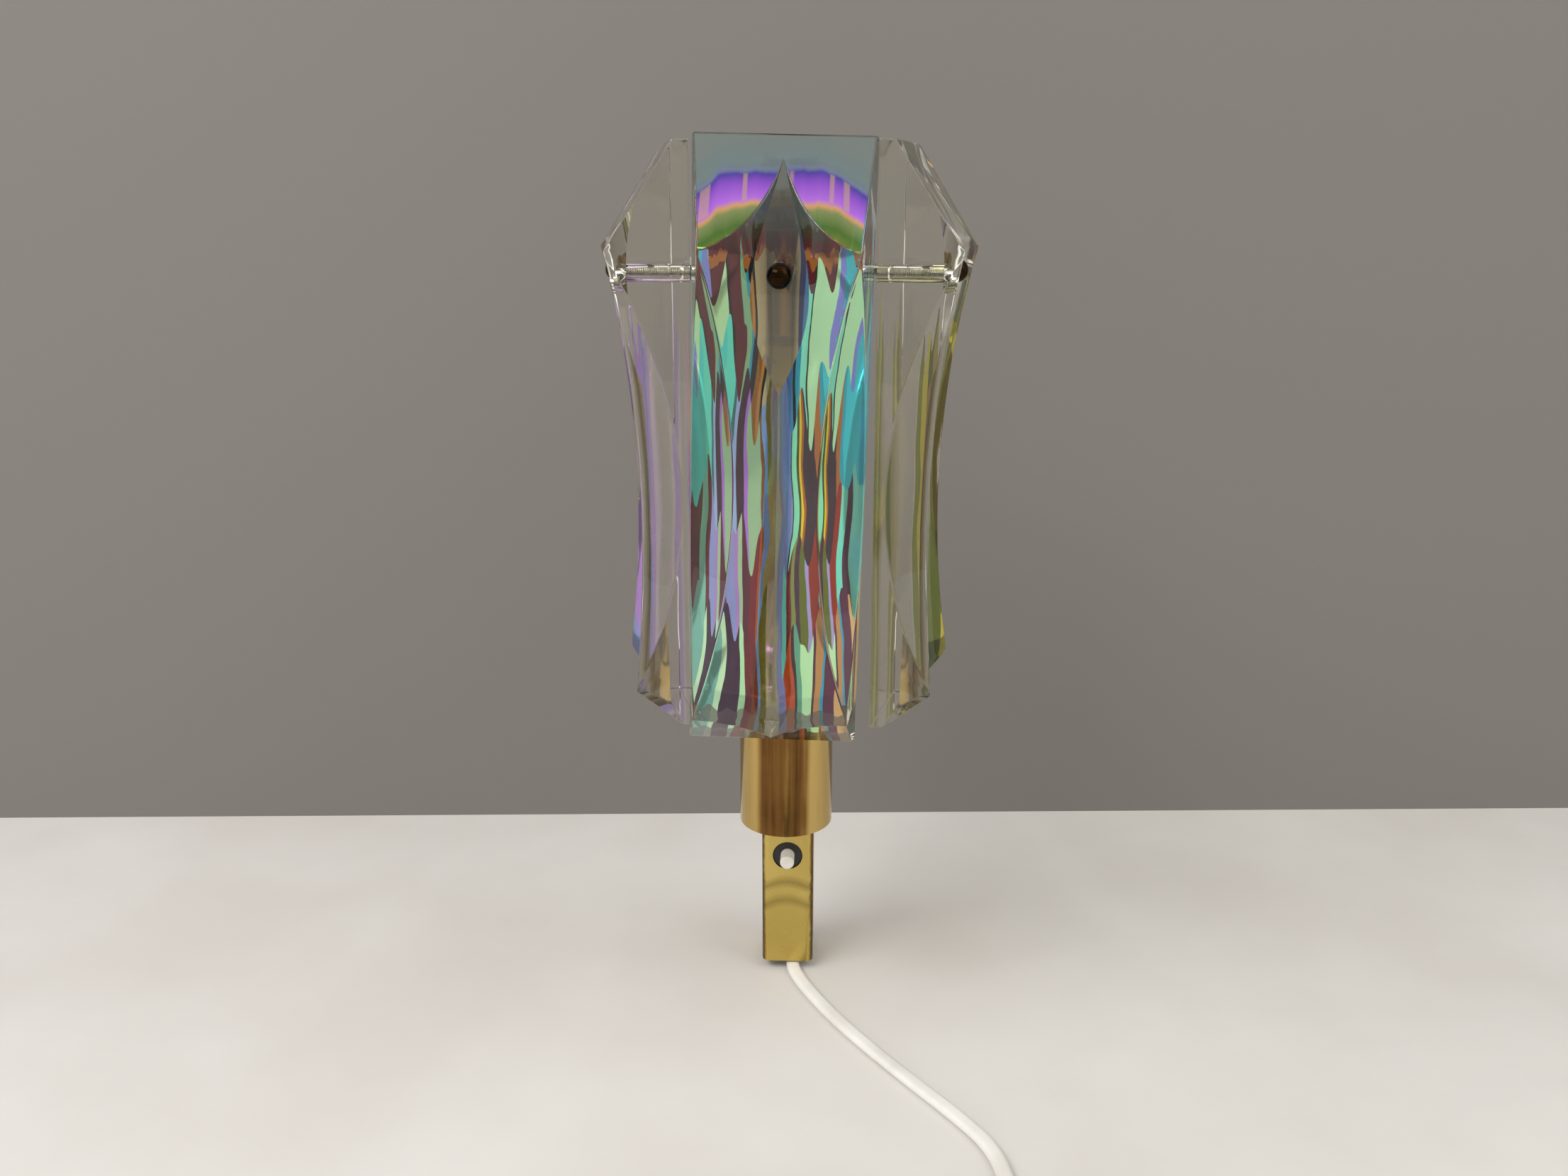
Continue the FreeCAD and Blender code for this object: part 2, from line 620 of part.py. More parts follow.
def panel_section(z):
    """Back, cheeks and the two lobes at one height."""
    half = CRYSTAL_BACK_WIDTH / 2
    depth = edge_depth(z)
    edge = cheek_half_width(depth)
    groove = panel_point(0, groove_depth(z), z)
    corners = {side: panel_point(side * edge, depth, z) for side in (-1, 1)}
    backs = {side: panel_point(side * half, 0, z) for side in (-1, 1)}
    lobes = {}
    for side in (-1, 1):
        chord = corners[side] - groove
        across = V(-chord.y, chord.x, 0).normalize() * side * -1
        bulge = chord.Length / 2 * math.tan(math.radians(LOBE_TURN / 4))
        middle = (corners[side] + groove) * 0.5 + across * bulge
        lobes[side] = Part.Arc(corners[side], middle, groove).toShape()
    edges = [
        Part.makeLine(backs[-1], backs[1]),
        Part.makeLine(backs[1], corners[1]),
        lobes[1],
        Part.Arc(groove, lobes[-1].valueAt((lobes[-1].FirstParameter + lobes[-1].LastParameter) / 2),
                 corners[-1]).toShape(),
        Part.makeLine(corners[-1], backs[-1]),
    ]
    return Part.Wire(edges)


def side_prism(outline, half_width):
    """An outline in depth and height, drawn out across the panel."""
    points = [panel_point(-half_width, t, z) for t, z in outline]
    face = Part.Face(Part.makePolygon(points + points[:1]))
    return face.extrude(V(2 * half_width, 0, 0))


def roof_cutter():
    """What the sloping roof takes off."""
    beyond = CRYSTAL_HEIGHT
    slope = (TIP_HEIGHT - CRYSTAL_HEIGHT) / (TIP_DEPTH - CRYSTAL_FLAT)
    far = CRYSTAL_FLAT + CRYSTAL_HEIGHT / 2
    outline = [(-beyond, CRYSTAL_HEIGHT), (CRYSTAL_FLAT, CRYSTAL_HEIGHT),
               (far, CRYSTAL_HEIGHT + slope * (far - CRYSTAL_FLAT)),
               (far, 2 * CRYSTAL_HEIGHT), (-beyond, 2 * CRYSTAL_HEIGHT)]
    return side_prism(outline, CRYSTAL_BACK_WIDTH)


def foot_cutter():
    """What the sloping underside takes off."""
    beyond = CRYSTAL_HEIGHT
    slope = FOOT_TIP_HEIGHT / (FOOT_TIP_DEPTH - CRYSTAL_FLAT)
    far = CRYSTAL_FLAT + CRYSTAL_HEIGHT / 2
    outline = [(-beyond, 0), (CRYSTAL_FLAT, 0), (far, slope * (far - CRYSTAL_FLAT)),
               (far, -CRYSTAL_HEIGHT), (-beyond, -CRYSTAL_HEIGHT)]
    return side_prism(outline, CRYSTAL_BACK_WIDTH)


def flank_cutter(side):
    """A long horizontal cylinder that hollows one flank between its tips."""
    across = math.cos(math.radians(FLANK_ANGLE))
    outwards = math.sin(math.radians(FLANK_ANGLE))

    def reach(depth):
        return across * cheek_half_width(depth) + outwards * depth

    waist_height = (TIP_HEIGHT + FOOT_TIP_HEIGHT) / 2
    (n, z), radius = circle_through((reach(TIP_DEPTH) + TIP_SLACK, TIP_HEIGHT), (FLANK_DEPTH, waist_height),
                                    (reach(FOOT_TIP_DEPTH) + TIP_SLACK, FOOT_TIP_HEIGHT))
    length = 2 * CRYSTAL_BACK_WIDTH
    axis = panel_point(-side * outwards, across, 0)
    away = panel_point(side * across, outwards, 0)
    centre = panel_point(side * across * n, outwards * n, z)
    cutter = cylinder(radius, length, V(0, 0, -length / 2))
    cutter.Placement = FreeCAD.Placement(centre, FreeCAD.Rotation(away, V(0, 0, 0), axis, "ZXY"))
    return cutter


def boss():
    """The ridge in the groove that carries the bolt: an arc seen from the side."""
    half = BOSS_LENGTH / 2
    top = panel_point(-BOSS_HALF_WIDTH, BOSS_END_DEPTH, CRYSTAL_BOLT_HEIGHT + half)
    crest = panel_point(-BOSS_HALF_WIDTH, BOSS_DEPTH, CRYSTAL_BOLT_HEIGHT)
    foot = panel_point(-BOSS_HALF_WIDTH, BOSS_END_DEPTH, CRYSTAL_BOLT_HEIGHT - half)
    back_top = V(top.x, -GROOVE_DEPTH_FOOT / 2, top.z)
    back_foot = V(foot.x, -GROOVE_DEPTH_FOOT / 2, foot.z)
    outline = Part.Wire([Part.Arc(top, crest, foot).toShape(), Part.makeLine(foot, back_foot),
                         Part.makeLine(back_foot, back_top), Part.makeLine(back_top, top)])
    return Part.Face(outline).extrude(V(2 * BOSS_HALF_WIDTH, 0, 0))


def crystal_panel():
    """One pressed crystal, standing in the XZ plane with its lower edge at z = 0."""
    margin = CRYSTAL_FLAT
    heights = [-margin + k * (CRYSTAL_HEIGHT + 2 * margin) / 4 for k in range(5)]
    body = Part.makeLoft([panel_section(z) for z in heights], True, False)
    body = body.fuse(boss())
    body = body.cut([roof_cutter(), foot_cutter(), flank_cutter(-1), flank_cutter(1)])
    bolt = panel_point(0, -1, CRYSTAL_BOLT_HEIGHT)
    bore = cylinder(CRYSTAL_BORE, TIP_DEPTH + 2, bolt, FORWARD)
    seat_start = panel_point(0, BOSS_DEPTH - NUT_SEAT_SINK, CRYSTAL_BOLT_HEIGHT)
    seat = cylinder(NUT_SEAT_RADIUS, TIP_DEPTH, seat_start, FORWARD)
    return body.cut([bore, seat])


def hang_crystal(panel, name):
    """Hang a panel on its rod: down by the play of the bore, leaning, then turned to its side."""
    outward, back_face = directions()[name]
    crystal = panel.copy()
    crystal.translate(V(0, -back_face, -CRYSTAL_BOLT_HEIGHT - HANG_DROP))
    lean = {"front": FRONT_LEAN, "left": SIDE_LEAN, "right": -SIDE_LEAN}[name]
    turn = {"front": 0.0, "left": -SIDE_ANGLE, "right": SIDE_ANGLE}[name]
    crystal.rotate(V(0, 0, 0), V(0, 1, 0), lean)
    crystal.rotate(V(0, 0, 0), UP, turn)
    crystal.translate(axis_point(BOLT_Z))
    return crystal


# ---------------------------------------------------------------- switch
def switch_point(depth):
    return V(0, -depth, SWITCH_Z)


def switch_depths():
    """Depths from the wall: front of the neck, back of the shell and back of the lid."""
    shell_back = WEB_BACK - SWITCH_SHELL_DEPTH
    return BAR_FRONT - SWITCH_NECK_RECESS, shell_back, shell_back - SWITCH_LID_THICKNESS


def collar_depths():
    """Front and back of the button's collar, at rest against the shell."""
    front = WEB_BACK - BUTTON_COLLAR
    return front, front - BUTTON_COLLAR


def switch_shell():
    neck_front, shell_back, _ = switch_depths()
    half = SWITCH_HEIGHT / 2
    block = box(-INNER_HALF, INNER_HALF, -WEB_BACK, -shell_back, SWITCH_Z - half, SWITCH_Z + half)
    room = box(-INNER_HALF - 1, INNER_HALF + 1, -WEB_BACK - 1, -WEB_BACK + BAR_EDGE_RADIUS,
               SWITCH_Z - half, SWITCH_Z + half)
    middle = box(-INNER_HALF + BAR_EDGE_RADIUS, INNER_HALF - BAR_EDGE_RADIUS, -WEB_BACK, -shell_back,
                 SWITCH_Z - half, SWITCH_Z + half)
    block = block.cut(room).fuse(middle)
    neck = cylinder(SWITCH_NECK_RADIUS, neck_front - WEB_BACK, switch_point(WEB_BACK), FORWARD)
    guide = cylinder(BUTTON_RADIUS + BUTTON_GAP, BAR_FRONT, switch_point(shell_back), FORWARD)
    front, _ = collar_depths()
    chamber = cylinder(BUTTON_RADIUS + BUTTON_COLLAR + BUTTON_GAP, front - shell_back + BUTTON_GAP,
                       switch_point(shell_back), FORWARD)
    return block.fuse(neck).removeSplitter().cut([guide, chamber])


def switch_lid():
    _, shell_back, lid_back = switch_depths()
    half = SWITCH_HEIGHT / 2
    return box(-INNER_HALF, INNER_HALF, -shell_back, -lid_back, SWITCH_Z - half, SWITCH_Z + half)


def switch_terminals():
    """Two solder tags on the lid."""
    _, _, lid_back = switch_depths()
    tags = []
    for x in (-INNER_HALF / 2, INNER_HALF / 2):
        tags.append(box(x - TAG_WIDTH / 2, x + TAG_WIDTH / 2, -lid_back, -lid_back + TAG_LENGTH,
                        SWITCH_Z - TAG_HALF, SWITCH_Z + TAG_HALF))
    return group(tags)


def switch_button():
    front, back = collar_depths()
    tip = BAR_FRONT + BUTTON_OUT
    stem = cylinder(BUTTON_RADIUS, tip - back, switch_point(back), FORWARD)
    rim = [e for e in stem.Edges if abs(e.BoundBox.YMin + tip) < 0.01 and e.BoundBox.YLength < 0.01]
    stem = stem.makeFillet(BUTTON_EDGE, rim)
    collar = cylinder(BUTTON_RADIUS + BUTTON_COLLAR, front - back, switch_point(back), FORWARD)
    return stem.fuse(collar).removeSplitter()


def switch_spring():
    """The return spring behind the button's collar."""
    _, shell_back, _ = switch_depths()
    _, back = collar_depths()
    length = back - shell_back - 2 * BUTTON_GAP - SPRING_WIRE
    helix = Part.makeHelix(length / SPRING_TURNS, length, SPRING_RADIUS)
    circle = Part.Wire(Part.makeCircle(SPRING_WIRE / 2, V(SPRING_RADIUS, 0, 0), V(0, 1, 0)))
    coil = Part.Wire(helix).makePipeShell([circle], True, True)
    coil.Placement = FreeCAD.Placement(switch_point(shell_back + BUTTON_GAP + SPRING_WIRE / 2),
                                       FreeCAD.Rotation(UP, FORWARD))
    return coil


# ---------------------------------------------------------------- rear plate, terminals, clamp
def rear_plate():
    foot = BAR_FOOT + PLATE_FOOT_GAP
    return box(-INNER_HALF, INNER_HALF, -PLATE_THICKNESS, 0, foot, TUBE_FOOT + PLATE_TOP_LEVEL)


def block_screw_places():
    half = BLOCK_SCREW_SPACING / 2
    rise = BLOCK_HEIGHT / 4
    depth = PLATE_THICKNESS + BLOCK_DEPTH
    return [V(x, -depth, BLOCK_Z + z) for x in (-half, half) for z in (-rise, rise)]


def terminal_block():
    half = BLOCK_WIDTH / 2
    back = PLATE_THICKNESS
    block = box(-half, half, -back - BLOCK_DEPTH, -back, BLOCK_Z - BLOCK_HEIGHT / 2, BLOCK_Z + BLOCK_HEIGHT / 2)
    for place in block_screw_places():
        block = block.cut(cylinder(BLOCK_SCREW_RADIUS + THREAD_GAP, BLOCK_SCREW_DEPTH, place, V(0, 1, 0)))
    return block


def terminal_screws():
    """Slotted screws, sunk a little below the face of the block."""
    length = BLOCK_SCREW_DEPTH - BLOCK_SCREW_SUNK
    screws = []
    for place in block_screw_places():
        head = place + V(0, BLOCK_SCREW_SUNK, 0)
        screw = cylinder(BLOCK_SCREW_RADIUS, length, head, V(0, 1, 0))
        slot = box(head.x - BLOCK_SCREW_RADIUS, head.x + BLOCK_SCREW_RADIUS, head.y, head.y + SLOT_DEPTH,
                   head.z - SLOT_HALF, head.z + SLOT_HALF)
        screws.append(screw.cut(slot))
    return group(screws)


def clamp_half_width():
    return CORD_WIDTH / 2 + THREAD_GAP + CLAMP_SHEET + CLAMP_FOOT


def cord_clamp():
    """A saddle over the cord with two feet on the rear plate."""
    inner = CORD_WIDTH / 2 + THREAD_GAP
    roof = CORD_DEPTH_IN_BAR + CORD_THICKNESS / 2 + THREAD_GAP
    z0 = CLAMP_Z - CLAMP_HEIGHT / 2
    z1 = CLAMP_Z + CLAMP_HEIGHT / 2
    arch = box(-inner - CLAMP_SHEET, inner + CLAMP_SHEET, -roof - CLAMP_SHEET, -PLATE_THICKNESS, z0, z1)
    arch = arch.cut(box(-inner, inner, -roof, -PLATE_THICKNESS, z0, z1))
    pad = box(-inner, inner, -CORD_DEPTH_IN_BAR + CORD_THICKNESS / 2 + THREAD_GAP, -PLATE_THICKNESS, z0, z1)
    saddle = arch.fuse(pad).removeSplitter()
    saddle.translate(V(CORD_OFFSET, 0, 0))
    for x in clamp_screw_places():
        foot = box(x - CLAMP_FOOT / 2, x + CLAMP_FOOT / 2, -PLATE_THICKNESS - CLAMP_SHEET,
                   -PLATE_THICKNESS, z0, z1)
        saddle = saddle.fuse(foot)
    saddle = saddle.removeSplitter()
    for x in clamp_screw_places():
        saddle = saddle.cut(cylinder(CLAMP_SCREW_RADIUS + THREAD_GAP, CLAMP_SHEET,
                                     V(x, -PLATE_THICKNESS, CLAMP_Z), FORWARD))
    return saddle


def clamp_screw_places():
    reach = CORD_WIDTH / 2 + THREAD_GAP + CLAMP_SHEET
    return [CORD_OFFSET - reach - CLAMP_FOOT / 2, CORD_OFFSET + reach + CLAMP_FOOT / 2]


def clamp_screws():
    screws = []
    for x in clamp_screw_places():
        base = V(x, -PLATE_THICKNESS, CLAMP_Z)
        shank = cylinder(CLAMP_SCREW_RADIUS, CLAMP_SHEET, base, FORWARD)
        head = cylinder(CLAMP_SCREW_HEAD, CLAMP_HEAD_HEIGHT, base + FORWARD * CLAMP_SHEET, FORWARD)
        screws.append(shank.fuse(head).removeSplitter())
    return group(screws)


# ---------------------------------------------------------------- wires inside the bar
def wires():
    """The three wires: supply to switch, switch to lampholder, supply to lampholder."""
    block_top = BLOCK_Z + BLOCK_HEIGHT / 2
    switch_foot = SWITCH_Z - SWITCH_HEIGHT / 2
    switch_top = SWITCH_Z + SWITCH_HEIGHT / 2
    _, _, lid_back = switch_depths()
    behind = (PLATE_THICKNESS + lid_back) / 2
    in_block = PLATE_THICKNESS + BLOCK_DEPTH / 2
    tag = INNER_HALF / 2
    in_bar = WEB_BACK / 2
    entry = WALL_TO_AXIS - HOLDER_RADIUS + 2
    left, right = holder_wire_places()
    rise = WIRE_HOLE_Z - switch_top
    return {
        "wire_supply": [
            V(-tag, -in_block, block_top), V(-tag, -in_block, block_top + 3),
            V(-tag, -behind, switch_foot - 1), V(-tag, -behind, SWITCH_Z - TAG_HALF)],
        "wire_switched": [
            V(tag, -behind, SWITCH_Z + TAG_HALF), V(tag, -behind, switch_top + rise * 0.3),
            V(right.x, -in_bar, switch_top + rise * 0.7), V(right.x, -in_bar, right.z),
            V(right.x, -entry, right.z)],
        "wire_return": [
            V(0, -in_block, block_top), V(0, -in_block, block_top + 3),
            V(0, -behind, switch_foot - 1), V(0, -behind, switch_top + rise * 0.3),
            V(left.x, -in_bar, switch_top + rise * 0.7), V(left.x, -in_bar, left.z),
            V(left.x, -entry, left.z)],
    }


# ---------------------------------------------------------------- cord, coil and plug
def cord_height():
    return SURFACE_Z + CORD_THICKNESS / 2


def cord_route():
    """The free stretch: out of the bar, over the table to the coil; points chosen by hand."""
    x = CORD_OFFSET
    z = cord_height()
    start, heading = coil_start()
    end = V(start.x, start.y, z)
    return [
        V(x, -CORD_DEPTH_IN_BAR, BLOCK_Z - BLOCK_HEIGHT / 2),
        V(x, -CORD_DEPTH_IN_BAR, z + 6.2),
        V(x, -13.6, z),
        V(x, -21.0, z),
        V(5.4, -30.0, z),
        V(11.4, -41.6, z),
        V(20.8, -57.4, z),
        V(34.0, -75.6, z),
        V(48.6, -94.2, z),
        V(63.8, -112.8, z),
        V(72.8, -126.8, z),
        V(75.6, -143.6, z),
        V(77.3, -161.6, z),
        end - heading * RUN_TO_COIL,
        end,
    ]


def flat_section(start, direction, width_direction):
    """The section of the flat cord: two round cores side by side in one sheath."""
    half = (CORD_WIDTH - CORD_THICKNESS) / 2
    radius = CORD_THICKNESS / 2
    thick = direction.cross(width_direction).normalize()
    corner = {(i, j): start + width_direction * (i * half) + thick * (j * radius)
              for i in (-1, 1) for j in (-1, 1)}
    ends = {i: start + width_direction * (i * (half + radius)) for i in (-1, 1)}
    return Part.Face(Part.Wire([
        Part.makeLine(corner[-1, -1], corner[1, -1]),
        Part.Arc(corner[1, -1], ends[1], corner[1, 1]).toShape(),
        Part.makeLine(corner[1, 1], corner[-1, 1]),
        Part.Arc(corner[-1, 1], ends[-1], corner[-1, -1]).toShape(),
    ]))


def power_cord():
    route = cord_route()
    pieces = rounded_path(route)
    section = flat_section(route[0], V(0, 0, -1), V(1, 0, 0))
    cord = sweep_along(section, pieces)
    length = path_length(pieces)
    radii = [round(piece[4], 1) for piece in pieces if piece[0] == "arc"]
    share = cord.Volume / (section.Area * length)
    print(f"free cord: {length:.0f} mm, bend radii {radii}, volume over section x length {share:.4f}")
    return cord, length


def coil_places():
    """Points every half turn: in along the lower layer, up in one half turn, out along the upper."""
    radius_of_cord = CORD_WIDTH / 2
    low = SURFACE_Z + radius_of_cord
    high = low + COIL_LAYER_PITCH
    rate = COIL_PITCH / (2 * math.pi)
    places = []
    for k in range(2 * COIL_HALF_TURNS + 1):
        upper = k > COIL_HALF_TURNS
        wound = math.pi * (2 * COIL_HALF_TURNS + 1 - k if upper else k)
        radius = COIL_RADIUS - rate * wound
        angle = -math.pi * k
        outwards = V(math.cos(angle), math.sin(angle), 0)
        around = V(math.sin(angle), -math.cos(angle), 0)
        place = V(COIL_CENTRE[0], COIL_CENTRE[1], high if upper else low) + outwards * radius
        heading = around * radius + outwards * (rate if upper else -rate)
        places.append((place, heading.normalize()))
    return places


def coil_start():
    """Where the free cord meets the coil, and its heading there."""
    place, heading = coil_places()[0]
    return place - heading * COIL_LEAD, heading


def coil_end():
    place, heading = coil_places()[-1]
    return place + heading * COIL_LEAD, heading


def coil_path():
    places = coil_places()
    edges = []
    for (start, leaving), (end, arriving) in zip(places, places[1:]):
        for three in biarc(start, leaving, end, arriving):
            edges.append(Part.Arc(*three).toShape())
    lead_in = Part.makeLine(coil_start()[0], places[0][0])
    lead_out = Part.makeLine(places[-1][0], coil_end()[0])
    return Part.Wire([lead_in] + edges + [lead_out])


def least_gap(wire, diameter, step=2.0):
    """Least clear distance between stretches of a path that aren't neighbours."""
    points = wire.discretize(Distance=step)
    apart = int(3 * diameter / step)
    least = min((a - b).Length for i, a in enumerate(points) for b in points[i + apart:])
    return least - diameter


def cord_coil():
    path = coil_path()
    circle = Part.Wire(Part.makeCircle(CORD_WIDTH / 2, *coil_start()))
    coil = path.makePipeShell([circle], True, False)
    share = coil.Volume / (math.pi * (CORD_WIDTH / 2) ** 2 * path.Length)
    print(f"coil: {path.Length:.0f} mm, least gap {least_gap(path, CORD_WIDTH):.2f} mm, "
          f"volume over section x length {share:.4f}")
    return coil, path.Length


def tail_route():
    """From the coil up to the plug, which lies on it; points chosen by hand."""
    start, heading = coil_end()
    plug_z = start.z + CORD_WIDTH / 2 + COIL_PLUG_GAP + PLUG_THICKNESS / 2
    return [
        start,
        start + heading * RUN_FROM_COIL,
        V(70.4, -230.6, start.z + 1.0),
        V(63.8, -238.2, start.z + 3.2),
        V(55.0, -242.8, start.z + 6.2),
        V(45.0, -244.1, start.z + 8.6),
        V(35.2, -242.3, plug_z),
        V(26.6, -237.2, plug_z),
        V(20.4, -229.3, plug_z),
    ]


def cord_tail():
    route = tail_route()
    length = path_length(rounded_path(route))
    heading = (route[-1] - route[-2]).normalize()
    return round_wire(route, CORD_WIDTH / 2), length, route[-1], heading


def plug_frame(shape, place, heading):
    """Turn a shape drawn along +X from the origin so that it starts at place along heading."""
    level = V(heading.x, heading.y, 0)
    shape.Placement = FreeCAD.Placement(place, FreeCAD.Rotation(V(1, 0, 0), level))
    return shape


def plug_body(place, heading):
    """A flat two-pin plug: a tapered relief, a body that narrows, rounded all round."""
    half = PLUG_WIDTH / 2
    waist = PLUG_NOSE
    outline = [V(0, -waist, 0), V(PLUG_LENGTH * 0.45, -half, 0), V(PLUG_LENGTH, -half, 0),
               V(PLUG_LENGTH, half, 0), V(PLUG_LENGTH * 0.45, half, 0), V(0, waist, 0)]
    face = Part.Face(Part.makePolygon(outline + outline[:1]))
    body = face.extrude(V(0, 0, PLUG_THICKNESS))
    body.translate(V(RELIEF_LENGTH, 0, -PLUG_THICKNESS / 2))
    body = body.makeFillet(PLUG_EDGE, body.Edges)
    relief = Part.makeCone(CORD_WIDTH / 2 + RELIEF_WALL, PLUG_THICKNESS / 2 - 1, RELIEF_LENGTH + PLUG_EDGE,
                           V(0, 0, 0), V(1, 0, 0))
    return plug_frame(body.fuse(relief).removeSplitter(), place, heading)


def plug_pins(place, heading):
    start = RELIEF_LENGTH + PLUG_LENGTH
    pins = []
    for side in (-1, 1):
        pin = cylinder(PIN_RADIUS, PIN_LENGTH, V(start, side * PIN_SPACING / 2, 0), V(1, 0, 0))
        tip = [e for e in pin.Edges if e.BoundBox.XLength < 0.01 and e.BoundBox.XMin > start + 1]
        pins.append(plug_frame(pin.makeFillet(PIN_RADIUS / 2, tip), place, heading))
    return group(pins)


# ---------------------------------------------------------------- the whole part
def build():
    parts = {
        "wall_bar": wall_bar(),
        "mounting_strap": mounting_strap(),
        "strap_stud": strap_stud(),
        "stud_spacer": stud_spacer(),
        "stud_cap_nut": stud_cap_nut(),
        "tube_sleeve": tube_sleeve(),
        "tube_bottom_disc": tube_bottom_disc(),
        "tube_rivets": group(sheet_rivets(tube_rivet_heights(), TUBE_DIAMETER / 2 - TUBE_SHEET)),
        "threaded_nipple": threaded_nipple(),
        "nipple_nut": nipple_nut(),
        "lampholder_base": lampholder_base(),
        "lampholder_body": lampholder_body(),
        "lampholder_shell": lampholder_shell(),
        "lampholder_contact": lampholder_contact(),
        "wire_grommet": wire_grommet(),
        "top_ring": top_ring(),
        "ring_rivets": group(sheet_rivets(ring_rivet_heights(), RING_DIAMETER / 2 - RING_SHEET)),
    }
    panel = crystal_panel()
    for name, (outward, back_face) in directions().items():
        parts[f"crystal_rod_{name}"] = crystal_rod(outward, back_face)
        parts[f"ball_nut_{name}"] = ball_nut(outward, back_face)
        parts[f"crystal_{name}"] = hang_crystal(panel, name)
    parts.update(rod_fittings())
    parts["switch_shell"] = switch_shell()
    parts["switch_lid"] = switch_lid()
    parts["switch_terminals"] = switch_terminals()
    parts["switch_button"] = switch_button()
    parts["switch_spring"] = switch_spring()
    parts["rear_plate"] = rear_plate()
    parts["terminal_block"] = terminal_block()
    parts["terminal_screws"] = terminal_screws()
    parts["cord_clamp"] = cord_clamp()
    parts["clamp_screws"] = clamp_screws()
    for name, route in wires().items():
        parts[name] = round_wire(route, WIRE_RADIUS)
    parts["power_cord"], free_length = power_cord()
    parts["cord_coil"], coil_length = cord_coil()
    parts["cord_tail"], tail_length, plug_place, heading = cord_tail()
    parts["plug_body"] = plug_body(plug_place, heading)
    parts["plug_pins"] = plug_pins(plug_place, heading)
    print(f"cord in all: {free_length + coil_length + tail_length:.0f} mm")
    return parts


os.makedirs("parts", exist_ok=True)
for node, shape in build().items():
    shape.exportStep(f"parts/{node}.step")
    if not shape.isValid():
        print(f"not valid: {node}")
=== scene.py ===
# %% [markdown]
# # A wall sconce with three crystal panels
# The lamp hangs on a wall. A brass channel carries a short brass tube with the lampholder, and a ring
# above it holds three long bolts. On each bolt hangs a thick panel of pressed glass, coated on its back
# so that it throws cyan, mint, plum and gold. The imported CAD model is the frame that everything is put
# on: its metal parts keep their shapes and get finishes here, while the glass, the bolts and the cord are
# modelled again, because light and close looks ask more of them than CAD faces give.

import math

import bmesh
import bpy
from mathutils import Matrix, Vector


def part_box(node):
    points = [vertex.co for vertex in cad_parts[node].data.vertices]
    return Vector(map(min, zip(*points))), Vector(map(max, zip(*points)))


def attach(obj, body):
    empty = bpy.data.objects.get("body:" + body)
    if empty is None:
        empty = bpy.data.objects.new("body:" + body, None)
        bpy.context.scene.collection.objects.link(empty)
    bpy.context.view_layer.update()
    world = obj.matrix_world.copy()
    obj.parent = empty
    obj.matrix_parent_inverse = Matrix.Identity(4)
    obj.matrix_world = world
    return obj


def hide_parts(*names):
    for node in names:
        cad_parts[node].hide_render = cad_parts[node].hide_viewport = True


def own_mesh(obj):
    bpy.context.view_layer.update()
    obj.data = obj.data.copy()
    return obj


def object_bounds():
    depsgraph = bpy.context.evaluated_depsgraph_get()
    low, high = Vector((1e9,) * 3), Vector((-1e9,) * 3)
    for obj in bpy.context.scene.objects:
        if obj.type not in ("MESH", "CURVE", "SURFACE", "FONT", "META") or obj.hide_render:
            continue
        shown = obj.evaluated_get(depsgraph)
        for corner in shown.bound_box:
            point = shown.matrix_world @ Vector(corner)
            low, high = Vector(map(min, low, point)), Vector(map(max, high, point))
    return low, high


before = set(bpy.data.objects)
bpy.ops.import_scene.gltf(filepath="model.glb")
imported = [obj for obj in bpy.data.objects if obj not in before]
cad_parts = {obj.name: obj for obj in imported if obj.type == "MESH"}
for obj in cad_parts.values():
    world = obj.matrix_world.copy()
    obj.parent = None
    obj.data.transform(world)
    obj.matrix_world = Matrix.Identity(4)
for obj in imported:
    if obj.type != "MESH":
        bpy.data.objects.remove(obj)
CAD_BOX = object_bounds()
MM = 0.001


def box_mm(points):
    """The lowest and highest corners of some points, in millimetres."""
    return [[round(pick(p[i] for p in points) / MM, 1) for i in range(3)] for pick in (min, max)]


print("CAD box, mm:", box_mm(CAD_BOX))

# %% [markdown]
# ## Nodes and colours
# Colours are written as a screen shows them, in sRGB hex, and Blender's sockets take linear light, so one
# function turns the one into the other. Another adds a shader or geometry node with its settings and links
# in one line, which keeps each material readable as a list of what feeds what. Noise patterns are given by
# the size of their patches in millimetres.

# %% Add and feed nodes
def linear(hex_colour):
    """An sRGB hex colour as the linear RGBA of a colour socket."""
    channels = [int(hex_colour[i:i + 2], 16) / 255 for i in (1, 3, 5)]
    return [c / 12.92 if c <= 0.04045 else ((c + 0.055) / 1.055) ** 2.4 for c in channels] + [1.0]


def feed(tree, node, sockets):
    """Feed sockets, by name or number: an output is linked, a node stands for its first output, and
    anything else is a value."""
    for name, value in sockets.items():
        if isinstance(value, bpy.types.Node):
            value = value.outputs[0]
        if isinstance(value, bpy.types.NodeSocket):
            tree.links.new(value, node.inputs[name])
        else:
            node.inputs[name].default_value = value


def add_node(tree, kind, sockets=None, **settings):
    """Add one node: settings are its properties, and its sockets are fed as above."""
    new = tree.nodes.new(kind)
    for name, value in settings.items():
        setattr(new, name, value)
    feed(tree, new, sockets or {})
    return new


def set_ramp(ramp_node, stops):
    """Fill a colour ramp from (position, hex colour) pairs."""
    ramp = ramp_node.color_ramp
    while len(ramp.elements) > 1:
        ramp.elements.remove(ramp.elements[-1])
    for i, (position, colour) in enumerate(stops):
        element = ramp.elements[0] if i == 0 else ramp.elements.new(position)
        element.position = position
        element.color = linear(colour)
    return ramp_node


